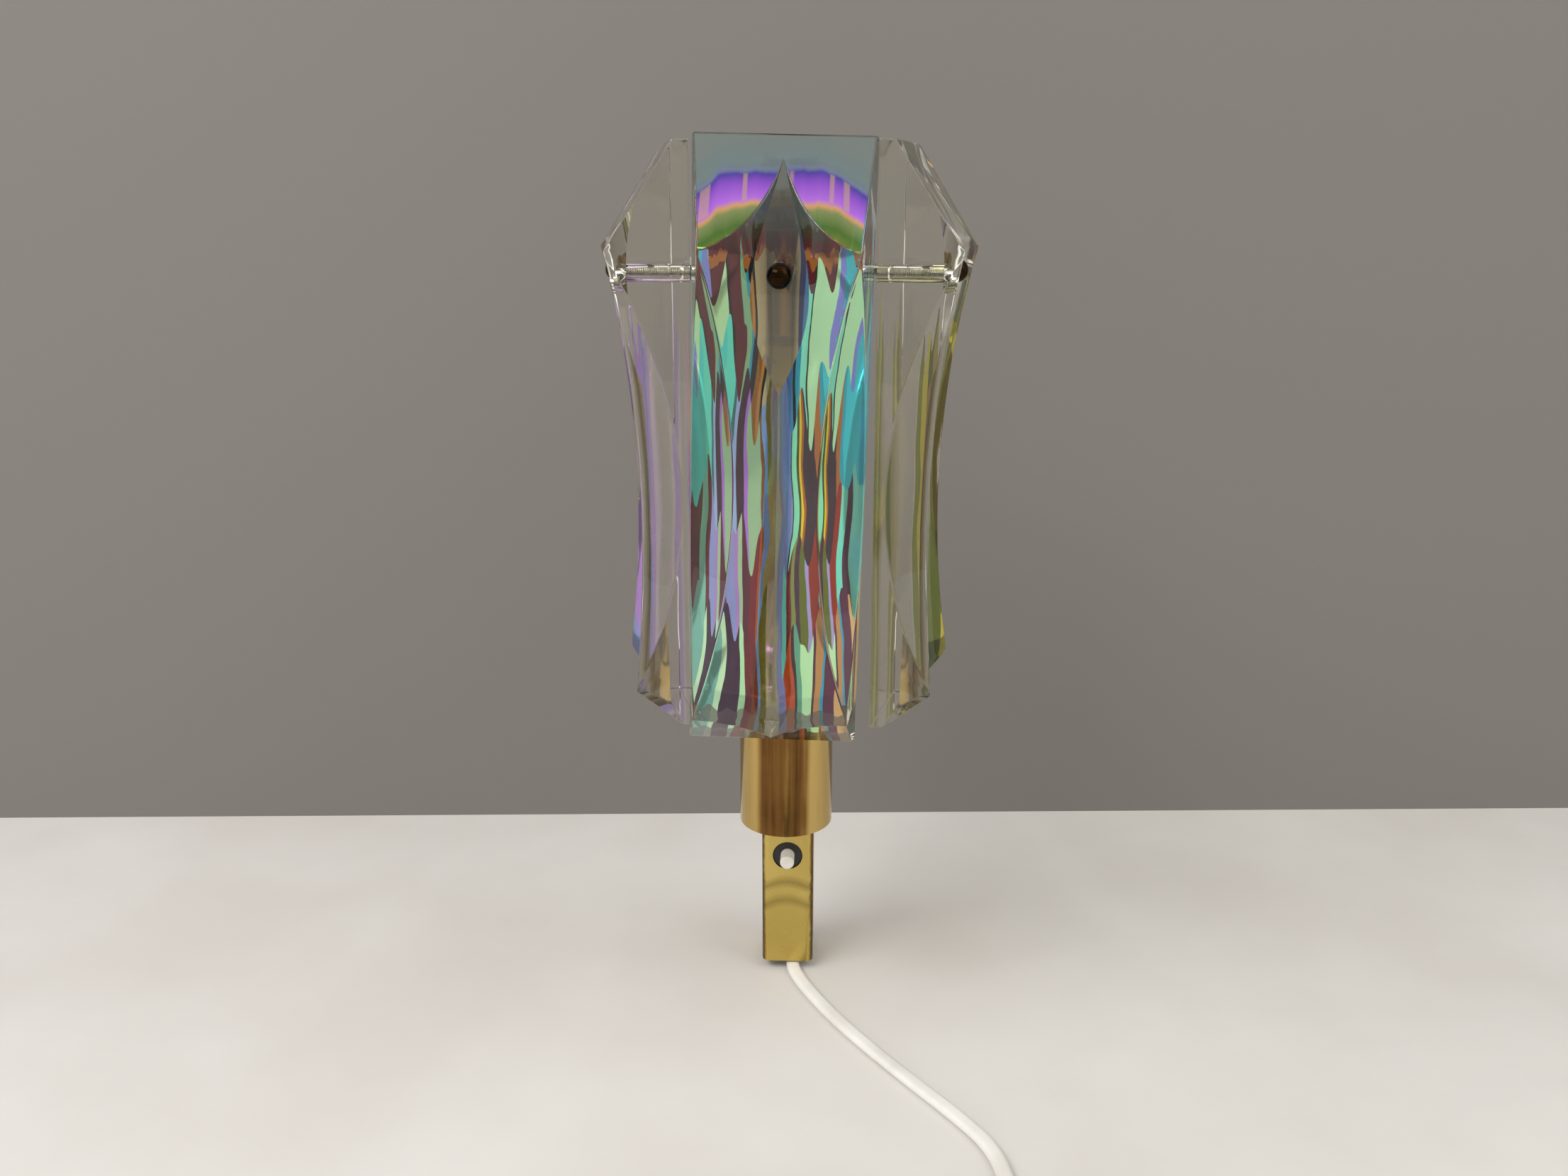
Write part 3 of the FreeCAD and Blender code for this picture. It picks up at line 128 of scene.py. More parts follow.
def patches(size_mm):
    """The scale at which a noise on coordinates in metres has patches of about this size. Where a size
    was chosen as an even part of a metre it is written so: 1000 / 70 is a seventieth, 14.3 mm."""
    return 1 / (size_mm * MM)


# %% [markdown]
# Every material below starts in the same way, from one Principled shader, which can be metal, plastic or
# glass. Where light has to go straight through, as in the shadow of clear glass, a share of it passes.

# %% Start a material
def new_material(name):
    """An empty node material with a Principled shader on its output."""
    material = bpy.data.materials.new(name)
    material.use_nodes = True
    tree = material.node_tree
    tree.nodes.clear()
    shader = add_node(tree, "ShaderNodeBsdfPrincipled")
    add_node(tree, "ShaderNodeOutputMaterial", {"Surface": shader})
    return material, tree, shader


def let_through(tree, shader, share, tint="#ffffff"):
    """Let light straight through, tinted, instead of a share, 0 to 1, of what the shader gives."""
    air = add_node(tree, "ShaderNodeBsdfTransparent", {"Color": linear(tint)})
    mixed = add_node(tree, "ShaderNodeMixShader", {0: share, 1: shader, 2: air})
    feed(tree, tree.nodes["Material Output"], {"Surface": mixed})


print("helpers ready")

# %% [markdown]
# ## Meshes
# The glass, the cord and the drill for the bolt holes are all made in the same way: a row of points is
# repeated along a line, and neighbouring rows are joined by faces. The helpers below make the faces, put
# them into an object, and close and clean its mesh.

# %% Rows of points to a closed mesh
def mesh_object(name, vertices, faces):
    """A new object at the origin, from vertices in metres and faces."""
    mesh = bpy.data.meshes.new(name)
    mesh.from_pydata([tuple(v) for v in vertices], [], faces)
    mesh.validate()
    made = bpy.data.objects.new(name, mesh)
    bpy.context.scene.collection.objects.link(made)
    return made


def loft_faces(row_count, row_length, capped=True):
    """Faces between closed rows of points, with one more over either end."""
    faces = []
    for i in range(row_count - 1):
        for j in range(row_length):
            a, b = i * row_length + j, i * row_length + (j + 1) % row_length
            faces.append((a, b, b + row_length, a + row_length))
    if capped:
        faces.append(tuple(reversed(range(row_length))))
        faces.append(tuple(range((row_count - 1) * row_length, row_count * row_length)))
    return faces


def clean(mesh, merge=0.0, shortest=0.0):
    """Merge points closer than merge, drop edges below shortest, and turn all faces outwards."""
    tools = bmesh.new()
    tools.from_mesh(mesh)
    if merge:
        bmesh.ops.remove_doubles(tools, verts=tools.verts, dist=merge)
    if shortest:
        bmesh.ops.dissolve_degenerate(tools, edges=tools.edges, dist=shortest)
    bmesh.ops.recalc_face_normals(tools, faces=tools.faces)
    open_edges = sum(not edge.is_manifold for edge in tools.edges)
    tools.to_mesh(mesh)
    tools.free()
    return open_edges


def apply_modifiers(made):
    """Keep what the modifiers make of an object as its own plain mesh."""
    made.update_tag()
    bpy.context.view_layer.update()
    evaluated = made.evaluated_get(bpy.context.evaluated_depsgraph_get())
    plain_mesh = bpy.data.meshes.new_from_object(evaluated)
    made.modifiers.clear()
    made.data = plain_mesh


print("mesh helpers ready")

# %% [markdown]
# ## The camera
# The photograph was taken from a little above the lamp, looking slightly down, with a wide lens. The
# place and lens below were found by fitting known corners of the lamp to the picture.

# %% Camera
EYE = Vector((0.01692, -0.48652, 0.04285))
GAZE = Vector((-0.0382, 0.96010, -0.27705)).normalized()
ROLL = math.radians(0.10)
FOCAL_MM, SENSOR_MM = 29.345, 36.0
NEAREST_SEEN = 0.01
level_right = GAZE.cross(Vector((0, 0, 1))).normalized()
level_up = level_right.cross(GAZE)
camera_x = level_right * math.cos(ROLL) + level_up * math.sin(ROLL)
camera_y = level_up * math.cos(ROLL) - level_right * math.sin(ROLL)
camera_data = bpy.data.cameras.new("photo_camera")
camera_data.sensor_fit = "HORIZONTAL"
camera_data.sensor_width = SENSOR_MM
camera_data.lens = FOCAL_MM
camera_data.clip_start = NEAREST_SEEN
camera = bpy.data.objects.new("photo_camera", camera_data)
bpy.context.scene.collection.objects.link(camera)
camera_axes = Matrix((camera_x, camera_y, -GAZE)).transposed().to_4x4()
camera.matrix_world = Matrix.Translation(EYE) @ camera_axes
bpy.context.scene.camera = camera
print("camera at", [round(v, 3) for v in EYE], "lens", FOCAL_MM, "mm")

# %% [markdown]
# ## Table and wall
# The lamp stands in front of a grey wall, on a pale table whose back edge runs a little askew. Both are
# plain sheets that take its shadow, and the crystals look out on them as real glass does. The wall shows
# from its front only, so that a camera behind it still sees the lamp.

# %% Table top and wall
TABLE_MM = -256.5
TABLE_Z = TABLE_MM * MM
SIDE_REACH, FRONT_REACH, WALL_TOP = 1.6, -1.5, 1.1
LEFT_EDGE_Y, RIGHT_EDGE_Y = 0.033, 0.218        # the table's back edge, at its two ends
back_left, back_right = (-SIDE_REACH, LEFT_EDGE_Y), (SIDE_REACH, RIGHT_EDGE_Y)
table = mesh_object("table_top", [
    (-SIDE_REACH, FRONT_REACH, TABLE_Z), (SIDE_REACH, FRONT_REACH, TABLE_Z),
    (*back_right, TABLE_Z), (*back_left, TABLE_Z)], [(0, 1, 2, 3)])
wall = mesh_object("grey_wall", [
    (*back_left, TABLE_Z), (*back_right, TABLE_Z),
    (*back_right, WALL_TOP), (*back_left, WALL_TOP)], [(0, 1, 2, 3)])

# The table is a laminate: a hard, dull, pale skin with very faint clouds in it.
laminate, tree, shader = new_material("laminate_table_top")
place = add_node(tree, "ShaderNodeTexCoord").outputs["Object"]
mottle = add_node(tree, "ShaderNodeTexNoise", {"Vector": place, "Scale": patches(1000 / 9),
                                               "Detail": 6.0})
mottled = set_ramp(add_node(tree, "ShaderNodeValToRGB", {"Fac": mottle}),
                   [(0.35, "#d3cfcb"), (0.65, "#dcd9d5")])
feed(tree, shader, {"Base Color": mottled, "Roughness": 0.6})
table.data.materials.append(laminate)

# The wall is matt paint, which scatters light and mirrors nothing.
paint, tree, shader = new_material("matt_wall_paint")
feed(tree, shader, {"Base Color": linear("#7b7773"), "Roughness": 0.9})
let_through(tree, shader, add_node(tree, "ShaderNodeNewGeometry").outputs["Backfacing"])
wall.data.materials.append(paint)
print("table at", TABLE_Z)

# %% [markdown]
# ## Light
# The world is a room whose ceiling and side walls are brighter than what stands behind the camera: a
# mirror-like tube then shows a brown middle between two light bands. Two large soft lamps add highlights
# and a shadow.

# %% World and lamps
ROOM_GLOW, CEILING_GLOW, SIDE_GLOW = 0.52, 0.6, 0.6
world = bpy.data.worlds.new("soft_room")
bpy.context.scene.world = world
world.use_nodes = True
tree = world.node_tree
tree.nodes.clear()
seen_from_here = add_node(tree, "ShaderNodeTexCoord").outputs["Generated"]
direction = add_node(tree, "ShaderNodeSeparateXYZ", {0: seen_from_here}).outputs
upward = add_node(tree, "ShaderNodeMath", {0: direction[2], 1: 0.0}, operation="MAXIMUM")
sideways = add_node(tree, "ShaderNodeMath", {0: direction[0], 1: 2.0}, operation="POWER")
glow = ROOM_GLOW
for share, added in ((upward, CEILING_GLOW), (sideways, SIDE_GLOW)):
    glow = add_node(tree, "ShaderNodeMath", {0: share, 1: added, 2: glow}, operation="MULTIPLY_ADD")
room_light = add_node(tree, "ShaderNodeBackground", {"Color": linear("#fffdf8"), "Strength": glow})
add_node(tree, "ShaderNodeOutputWorld", {"Surface": room_light})


def soft_lamp(name, place, size, watts, target=(0, -0.04, -0.05)):
    """A large rectangular lamp that faces the middle of the object."""
    lamp = bpy.data.lights.new(name, "AREA")
    lamp.shape = "RECTANGLE"
    lamp.size, lamp.size_y = size
    lamp.energy = watts
    made = bpy.data.objects.new(name, lamp)
    bpy.context.scene.collection.objects.link(made)
    made.location = place
    made.rotation_euler = (Vector(target) - Vector(place)).to_track_quat("-Z", "Y").to_euler()


soft_lamp("lamp_above_left", (-0.75, -0.75, 0.95), (0.9, 0.5), watts=10.5)
soft_lamp("lamp_above_right", (0.85, -0.6, 0.8), (0.5, 0.9), watts=2.4)
bpy.context.scene.view_settings.view_transform = "Standard"
print("light set")

# %% [markdown]
# ## The cord
# A flat two-core flex, 5.4 mm wide and 3.3 mm thick, leaves the foot of the channel, lies flat on the
# table and runs out of the picture. There its spare length is wound into a coil of two layers, and the plug
# lies on top of it. A cord is a smooth line first: the route's points are the control points of one NURBS
# spline, and the coil's turns are more points of it. All of them are in millimetres.

# %% Cord route
CORD_WIDTH, CORD_THICKNESS = 5.4, 3.3
FLAT_Z, EDGE_Z = TABLE_MM + CORD_THICKNESS / 2, TABLE_MM + CORD_WIDTH / 2
COIL_CENTRE, COIL_RADIUS = (32.3, -206.0), 44.2
COIL_PITCH, COIL_LAYER = 6.2, 5.9               # from turn to turn, and from layer to layer
UPPER_Z, PLUG_Z = EDGE_Z + COIL_LAYER, -238.25
TURNS, LOWER_TURNS, CLIMBING_TURNS = 8, 4, 0.5
POINTS_PER_TURN = 16


def ease(x):
    """0 up to nought, 1 from one on, and a smooth rise between them."""
    x = min(max(x, 0.0), 1.0)
    return x * x * (3 - 2 * x)


def coil_points():
    """In on the table, up half a turn, and out again on the upper layer."""
    step = math.tau / POINTS_PER_TURN
    for k in range(TURNS * POINTS_PER_TURN):
        wound = (k + 0.5) * step
        inwards = min(wound, LOWER_TURNS * math.tau)
        outwards = max(wound - (LOWER_TURNS + CLIMBING_TURNS) * math.tau, 0.0)
        drawn_in = COIL_PITCH / math.tau * (inwards - outwards)
        radius = (COIL_RADIUS - drawn_in) / math.cos(step / 2)
        climb = ease((wound - LOWER_TURNS * math.tau) / (CLIMBING_TURNS * math.tau))
        yield (COIL_CENTRE[0] + radius * math.cos(-wound), COIL_CENTRE[1] + radius * math.sin(-wound),
               EDGE_Z + COIL_LAYER * climb)


route = [
    (2.2, -9.0, -231.5), (2.2, -9.0, FLAT_Z + 6.2), (2.2, -13.6, FLAT_Z), (2.2, -21.0, FLAT_Z),
    (5.4, -30.0, FLAT_Z), (11.4, -41.6, FLAT_Z), (20.8, -57.4, FLAT_Z), (34.0, -75.6, FLAT_Z),
    (48.6, -94.2, FLAT_Z), (63.8, -112.8, FLAT_Z), (72.8, -126.8, FLAT_Z + 0.15),
    (75.6, -143.6, FLAT_Z + 0.7), (77.3, -161.6, EDGE_Z), (77.058, -181.006, EDGE_Z),
    (76.620, -200.601, EDGE_Z), *coil_points(),
    (73.530, -211.398, UPPER_Z), (73.765, -221.195, UPPER_Z), (70.4, -230.6, UPPER_Z + 1.0),
    (63.8, -238.2, UPPER_Z + 3.2), (55.0, -242.8, UPPER_Z + 6.2), (45.0, -244.1, UPPER_Z + 8.6),
    (35.2, -242.3, PLUG_Z), (26.6, -237.2, PLUG_Z), (20.4, -229.3, PLUG_Z),
]
print("cord route:", len(route), "points")

# %% [markdown]
# A NURBS spline of order 3 bends evenly between its control points and has no corner anywhere. It is
# turned into short edges, and the length of cord up to each point is measured along them.

# %% One smooth line through the route
cord_curve = bpy.data.curves.new("cord_line", "CURVE")
cord_curve.dimensions = "3D"
cord_curve.resolution_u = 12
spline = cord_curve.splines.new("NURBS")
spline.points.add(len(route) - 1)
for point, place in zip(spline.points, route):
    point.co = (*(value * MM for value in place), 1.0)
spline.order_u = 3
spline.use_endpoint_u = True
cord_line = bpy.data.objects.new("cord_line", cord_curve)
bpy.context.scene.collection.objects.link(cord_line)
evaluated_line = cord_line.evaluated_get(bpy.context.evaluated_depsgraph_get())
line_mesh = bpy.data.meshes.new_from_object(evaluated_line)
cord_path = [v.co.copy() for v in line_mesh.vertices]
bpy.data.objects.remove(cord_line)
run = [0.0]                                     # metres of cord up to each point
for a, b in zip(cord_path, cord_path[1:]):
    run.append(run[-1] + (b - a).length)
print("cord", len(cord_path), "points,", round(run[-1] / MM), "mm")

# %% [markdown]
# A curve's own bevel could make the sheath, but flat flex can't be bent sideways, so a real one rolls onto
# its edge where it is wound. So the sheath's outline is set across the line point by point, with that
# roll, and lofted.

# %% Sweep the sheath
ROLL_ON = (0.150, 0.230)        # metres of cord: it rolls onto its edge here
ROLL_OFF = (0.070, 0.020)       # and back again this far before the plug
ROUND_STEPS = 10
half_core, round_radius = (CORD_WIDTH - CORD_THICKNESS) / 2, CORD_THICKNESS / 2
outline = []                    # half round, flat, half round, flat, in millimetres
for side in (1, -1):
    for k in range(ROUND_STEPS + 1):
        angle = math.pi * (k / ROUND_STEPS - 0.5)
        outline.append((side * (half_core + round_radius * math.cos(angle)),
                        side * round_radius * math.sin(angle)))


def sheath_axes(i):
    """The directions of the flex's width and thickness at one point of its line."""
    ahead = (cord_path[min(i + 1, len(cord_path) - 1)] - cord_path[max(i - 1, 0)]).normalized()
    across = Vector((-ahead.y, ahead.x, 0))
    across = across.normalized() if across.length > 0.02 else Vector((1, 0, 0))
    upward = ahead.cross(across).normalized()
    if upward.z < 0 and abs(ahead.z) < 0.5:
        upward = -upward
    roll_on = ease((run[i] - ROLL_ON[0]) / (ROLL_ON[1] - ROLL_ON[0]))
    roll_off = ease((run[-1] - run[i] - ROLL_OFF[1]) / (ROLL_OFF[0] - ROLL_OFF[1]))
    turned = math.radians(90) * min(roll_on, roll_off)
    wide = across * math.cos(turned) + upward * math.sin(turned)
    return wide, ahead.cross(wide)


vertices = []
for i, place in enumerate(cord_path):
    wide, thick = sheath_axes(i)
    vertices += [place + (wide * x + thick * y) * MM for x, y in outline]
flex = mesh_object("flat_flex", vertices, loft_faces(len(cord_path), len(outline)))
clean(flex.data)
flex.data.shade_smooth()
print("flex:", len(flex.data.polygons), "faces")

# %% [markdown]
# The sheath is white PVC, extruded: a soft even sheen, faintly wavy, slightly yellowed and dusty. Two
# noises do it, one of the size of smudges for colour and sheen, one of 3 mm for the waves.

# %% Cord finish
white_pvc, tree, shader = new_material("white_pvc_flex")
place = add_node(tree, "ShaderNodeTexCoord").outputs["Object"]
grime = add_node(tree, "ShaderNodeTexNoise", {"Vector": place, "Scale": patches(1000 / 60),
                                              "Detail": 4.0})
waves = add_node(tree, "ShaderNodeTexNoise", {"Vector": place, "Scale": patches(1000 / 350),
                                              "Detail": 2.0})
feed(tree, shader, {
    "Base Color": set_ramp(add_node(tree, "ShaderNodeValToRGB", {"Fac": grime}),
                           [(0.3, "#dbd8d2"), (0.6, "#e9e7e3")]),
    "Roughness": add_node(tree, "ShaderNodeMapRange", {"Value": grime, "To Min": 0.32, "To Max": 0.5}),
    "Normal": add_node(tree, "ShaderNodeBump", {"Height": waves, "Strength": 0.15, "Distance": 0.3 * MM})})
flex.data.materials.append(white_pvc)
print("flex finished")

# %% [markdown]
# ## The crystal panels
# Each panel is one piece of pressed lead glass: a flat back, two cheeks that close towards the front, two
# bulging lobes that meet in a sharp groove, a hollowed flank beside each lobe, a sloping roof and foot,
# and a pointed ridge in the groove that carries the bolt. Seen as level slices, all of that is one rule:
# a slice changes with its height. So the panel is lofted from slices whose corners always carry the same
# numbers, and every crease runs along one row of points. Each corner is rounded by under half a
# millimetre, as fire-polished glass is, and those small rounds catch the bright lines of light.
# Sizes are in millimetres: heights from the panel's foot, and depths outwards from its back.

# %% Sizes of a panel
PANEL_HEIGHT, PANEL_HALF = 195.0, 28.5          # half of its width, at the back
STRIP = 4.9                                     # thickness at the top and the bottom edge
TIP_Z, FOOT_Z, BOLT_Z = 161.0, 12.3, 153.6      # where the roof and foot begin; the hole
MIDDLE_Z = (TIP_Z + FOOT_Z) / 2
TIP_DEPTH, WAIST_DEPTH, FOOT_DEPTH = 27.0, 19.5, 20.6       # outer ends of the lobes
FLANK_REACH, TIP_SLACK = 21.8, 0.15             # the flanks' hollow, and how it clears the tips
GROOVE_FOOT, GROOVE_GAIN = 6.5, 2.5             # depth of the groove at the foot, and what it gains
CHEEK_TAPER = 6.0                               # the cheeks close by 1 in this many
LOBE_TURN, FLANK = math.radians(48.0), math.radians(48.1)
RIDGE_DEPTH, RIDGE_HALF_WIDTH = 18.6, 9.0
RIDGE_REACH, RIDGE_SAG = 38.0, 11.6             # its front sinks this far, at that distance up or down


def arc_depth(z, a, b, c):
    """Value at z of the circle through three (value, height) points, on its near side."""
    d = 2 * (a[0] * (b[1] - c[1]) + b[0] * (c[1] - a[1]) + c[0] * (a[1] - b[1]))
    squares = [p[0] ** 2 + p[1] ** 2 for p in (a, b, c)]
    x = (squares[0] * (b[1] - c[1]) + squares[1] * (c[1] - a[1]) + squares[2] * (a[1] - b[1])) / d
    y = (squares[0] * (c[0] - b[0]) + squares[1] * (a[0] - c[0]) + squares[2] * (b[0] - a[0])) / d
    return x - math.sqrt(math.hypot(a[0] - x, a[1] - y) ** 2 - (z - y) ** 2)


def cheek(depth):
    """How far across the cheek is at a depth."""
    return PANEL_HALF - depth / CHEEK_TAPER


def along_flank(u, t):
    """How far a place reaches in the direction that the flanks face."""
    return math.cos(FLANK) * u + math.sin(FLANK) * t


def slope_depth(z):
    """Depth of the sloping roof or foot."""
    if z > TIP_Z:
        return STRIP + (PANEL_HEIGHT - z) * (TIP_DEPTH - STRIP) / (PANEL_HEIGHT - TIP_Z)
    return STRIP + z * (FOOT_DEPTH - STRIP) / FOOT_Z


def ridge_depth(z):
    """Depth of the ridge's front, an arc that stands out most at the bolt."""
    radius = (RIDGE_REACH ** 2 + RIDGE_SAG ** 2) / (2 * RIDGE_SAG)
    return RIDGE_DEPTH - radius + math.sqrt(max(radius ** 2 - (z - BOLT_Z) ** 2, 0.0))


print("ridge at the bolt:", ridge_depth(BOLT_Z), "mm")


# %% [markdown]
# A slice is worked out in this order: the lobe's arc, from the groove to its outer end; where the flank,
# the roof or the foot cuts that arc off; and last the ridge that fills the groove near the bolt.

# %% The rule of a slice
class Slice:
    """Half of the panel's outline at one height, as (across, outwards) in millimetres."""

    def __init__(self, z):
        edge = arc_depth(z, (TIP_DEPTH, TIP_Z), (WAIST_DEPTH, MIDDLE_Z), (FOOT_DEPTH, FOOT_Z))
        groove = GROOVE_FOOT + (z - FOOT_Z) / (TIP_Z - FOOT_Z) * GROOVE_GAIN
        start, end = Vector((0.0, groove)), Vector((cheek(edge), edge))
        chord = end - start
        self.along = chord.normalized()
        self.outward = Vector((-self.along.y, self.along.x))
        self.radius = chord.length / (2 * math.sin(LOBE_TURN / 2))
        self.centre = (start + end) / 2 - self.outward * self.radius * math.cos(LOBE_TURN / 2)
        if z > TIP_Z or z < FOOT_Z:
            front = slope_depth(z)
            self.cut = self.share_where(lambda p: p.y - front)
            self.cheek_end = Vector((cheek(front), front))
        else:
            front = max(ridge_depth(z), groove) + 1
            reach = arc_depth(z, (along_flank(cheek(TIP_DEPTH), TIP_DEPTH) + TIP_SLACK, TIP_Z),
                              (FLANK_REACH, MIDDLE_Z),
                              (along_flank(cheek(FOOT_DEPTH), FOOT_DEPTH) + TIP_SLACK, FOOT_Z))
            self.cut = self.share_where(lambda p: along_flank(p.x, p.y) - reach)
            depth = ((reach - math.cos(FLANK) * PANEL_HALF)
                     / (math.sin(FLANK) - math.cos(FLANK) / CHEEK_TAPER))
            self.cheek_end = Vector((cheek(depth), depth)) if depth < edge else end
        self.raise_ridge(z, groove, front)

    def raise_ridge(self, z, groove, front):
        """The ridge fills the groove up to its own depth, and never stands out past the front."""
        ridge = ridge_depth(z)
        self.centre_depth = min(max(groove, ridge), front)
        self.ridge_side = self.foot_of_ridge = Vector((0.0, self.centre_depth))
        self.ridge_share = 0.0
        if groove < ridge < front and abs(z - BOLT_Z) < RIDGE_REACH:
            self.ridge_share = min(self.share_where(lambda p: p.y - ridge),
                                   self.share_where(lambda p: p.x - RIDGE_HALF_WIDTH), self.cut)
            self.foot_of_ridge = self.lobe(self.ridge_share)
            self.ridge_side = Vector((self.foot_of_ridge.x, ridge))
        if self.cut <= 0:
            self.ridge_side = self.foot_of_ridge = Vector((0.0, front))
            self.centre_depth = front

    def lobe(self, share):
        """A place on the lobe's arc, from the groove, 0, to its outer end, 1."""
        turn = LOBE_TURN * (share - 0.5)
        return self.centre + (self.outward * math.cos(turn) + self.along * math.sin(turn)) * self.radius

    def share_where(self, rises):
        """The share of the lobe's arc at which a value that grows along it passes nought."""
        if rises(self.lobe(0.0)) >= 0:
            return 0.0
        if rises(self.lobe(1.0)) <= 0:
            return 1.0
        low, high = 0.0, 1.0
        for _ in range(40):
            middle = (low + high) / 2
            low, high = (middle, high) if rises(self.lobe(middle)) < 0 else (low, middle)
        return (low + high) / 2


waist = Slice(MIDDLE_Z)
print("slice at the waist: lobe ends at", [round(v, 1) for v in waist.lobe(waist.cut)],
      "cheek at", [round(v, 1) for v in waist.cheek_end])

# %% [markdown]
# A slice is turned into a fixed number of points: so many on the ridge's front, on its side, on the lobe,
# on the flank, on the cheek and on the back. A run that a slice doesn't have shrinks to one place, but
# keeps its points. Between two runs a few more points round the corner.

# %% Points of a slice
RUN_STEPS = (6, 2, 26, 10, 8, 8)
ROUNDED = (0, 2, 3, 4)          # the runs that end in a rounded corner
CORNER_STEPS = 4
MOST_ROUNDED = 0.3              # a round takes at most this share of a run
NO_LENGTH = 1e-9


def straight(a, b):
    """A straight run: the place at a share of it, and its length."""
    return (lambda share: a.lerp(b, share)), (b - a).length


def half_outline(level, corner_radius):
    """The half outline of a slice, from the middle of the front to the middle of the back."""
    middle_front, back_corner = Vector((0.0, level.centre_depth)), Vector((PANEL_HALF, 0.0))
    first = min(level.ridge_share, level.cut)
    lobe_end, on_lobe = middle_front, lambda share: middle_front
    if level.cut > 0:
        lobe_end, on_lobe = level.lobe(level.cut), lambda share: level.lobe(
            first + share * (level.cut - first))
    runs = [
        straight(middle_front, level.ridge_side),
        straight(level.ridge_side, level.foot_of_ridge),
        (on_lobe, (level.cut - first) * LOBE_TURN * level.radius),
        straight(lobe_end, level.cheek_end),
        straight(level.cheek_end, back_corner),
        straight(back_corner, Vector((0.0, 0.0))),
    ]
    trims = [[0.0, 0.0] for _ in runs]
    for k in ROUNDED:
        length, next_length = runs[k][1], runs[k + 1][1]
        room = min(corner_radius, MOST_ROUNDED * length, MOST_ROUNDED * next_length)
        trims[k][1] = room / length if length > NO_LENGTH else 0.0
        trims[k + 1][0] = room / next_length if next_length > NO_LENGTH else 0.0
    made = []
    for k, ((place, _), (before, after)) in enumerate(zip(runs, trims)):
        for j in range(RUN_STEPS[k] + 1):
            made.append(place(before + (1 - before - after) * j / RUN_STEPS[k]))
        if k in ROUNDED:
            a, corner, b = made[-1], runs[k + 1][0](0.0), runs[k + 1][0](trims[k + 1][0])
            for j in range(1, CORNER_STEPS):
                x = j / CORNER_STEPS
                made.append(a * (1 - x) ** 2 + corner * 2 * x * (1 - x) + b * x * x)
    return made


print("points in half a slice:", len(half_outline(waist, 0.0)))

# %% [markdown]
# The slices are stacked closely where the panel changes fast, and at both ends the last few are drawn in
# to round the rim. Rows that shrink to nothing, as the lobes do at the top of the groove, are merged.

# %% Loft one panel
EDGE_ROUND = 0.55
RIM_STEPS = 5
GROOVE_END_Z = 187.99           # here the groove runs out into the roof
ROOF_EDGE_Z = PANEL_HEIGHT - EDGE_ROUND


def levels(low, high, steps):
    return [low + (high - low) * k / steps for k in range(steps)]


def drawn_in(points, inset):
    """A half outline shrunk by inset all round."""
    thickness = max(p.y for p in points)
    return [Vector((p.x * (1 - inset / PANEL_HALF), inset + p.y * (1 - 2 * inset / thickness)))
            for p in points]


def rim_rows(at_top):
    """The slices of the rounded rim at the foot or the top, as (half outline, height)."""
    made = []
    for k in range(RIM_STEPS):
        angle = math.radians(90) * k / RIM_STEPS
        inset, rise = EDGE_ROUND * (1 - math.sin(angle)), EDGE_ROUND * (1 - math.cos(angle))
        z = PANEL_HEIGHT - rise if at_top else rise
        made.append((drawn_in(half_outline(Slice(z), EDGE_ROUND), inset), z))
    return made[::-1] if at_top else made


def crystal_mesh(name):
    """One panel in its own place: back in the XZ plane, foot at z = 0, outwards to -Y, in metres."""
    heights = [*levels(EDGE_ROUND, FOOT_Z, 8), *levels(FOOT_Z, TIP_Z, 78),
               *levels(TIP_Z, GROOVE_END_Z, 20), *levels(GROOVE_END_Z, ROOF_EDGE_Z, 5), ROOF_EDGE_Z]
    rows = [*rim_rows(at_top=False), *((half_outline(Slice(z), EDGE_ROUND), z) for z in heights),
            *rim_rows(at_top=True)]
    vertices = []
    for half_row, z in rows:
        ring = half_row + [Vector((-p.x, p.y)) for p in reversed(half_row[1:-1])]
        vertices += [Vector((p.x, -p.y, z)) * MM for p in ring]
    made = mesh_object(name, vertices, loft_faces(len(rows), len(ring)))
    open_edges = clean(made.data, merge=0.002 * MM, shortest=0.001 * MM)
    print(name, len(made.data.vertices), "points, open edges:", open_edges)
    return made


# %% [markdown]
# The hole for the bolt and the seat for its washer are drilled with a Boolean, as the CAD part's are.
# Then the panel is shaded smooth over its small rounds and crisp at its true creases, and its large flat
# faces are kept flat by weighing the normals.

# %% Drill and shade
DRILL_PROFILE = [(0.0, -1.0), (3.9, -1.0), (3.0, 0.5), (3.0, 18.3), (4.5, 18.3), (4.5, 32.0), (0.0, 32.0)]
DRILL_STEPS = 64                # round the hole; the profile is (radius, depth from the back)
CREASE = math.radians(24)


def drill(panel):
    """Cut the hole for the bolt, its small countersink at the back and the washer's seat in front."""
    vertices = []
    for radius, depth in DRILL_PROFILE:
        for k in range(DRILL_STEPS):
            angle = math.tau * k / DRILL_STEPS
            vertices.append(Vector((radius * math.cos(angle), -depth,
                                    BOLT_Z + radius * math.sin(angle))) * MM)
    bit = mesh_object("drill_bit", vertices, loft_faces(len(DRILL_PROFILE), DRILL_STEPS, capped=False))
    clean(bit.data, merge=0.0001 * MM)
    cut = panel.modifiers.new("drill", "BOOLEAN")
    cut.operation, cut.solver, cut.object = "DIFFERENCE", "EXACT", bit
    apply_modifiers(panel)
    bpy.data.objects.remove(bit)


panel = crystal_mesh("crystal_panel")
drill(panel)
panel.data.shade_smooth()
panel.data.set_sharp_from_angle(angle=CREASE)
panel.modifiers.new("weigh", "WEIGHTED_NORMAL").keep_sharp = True
apply_modifiers(panel)
print("drilled:", len(panel.data.polygons), "faces")

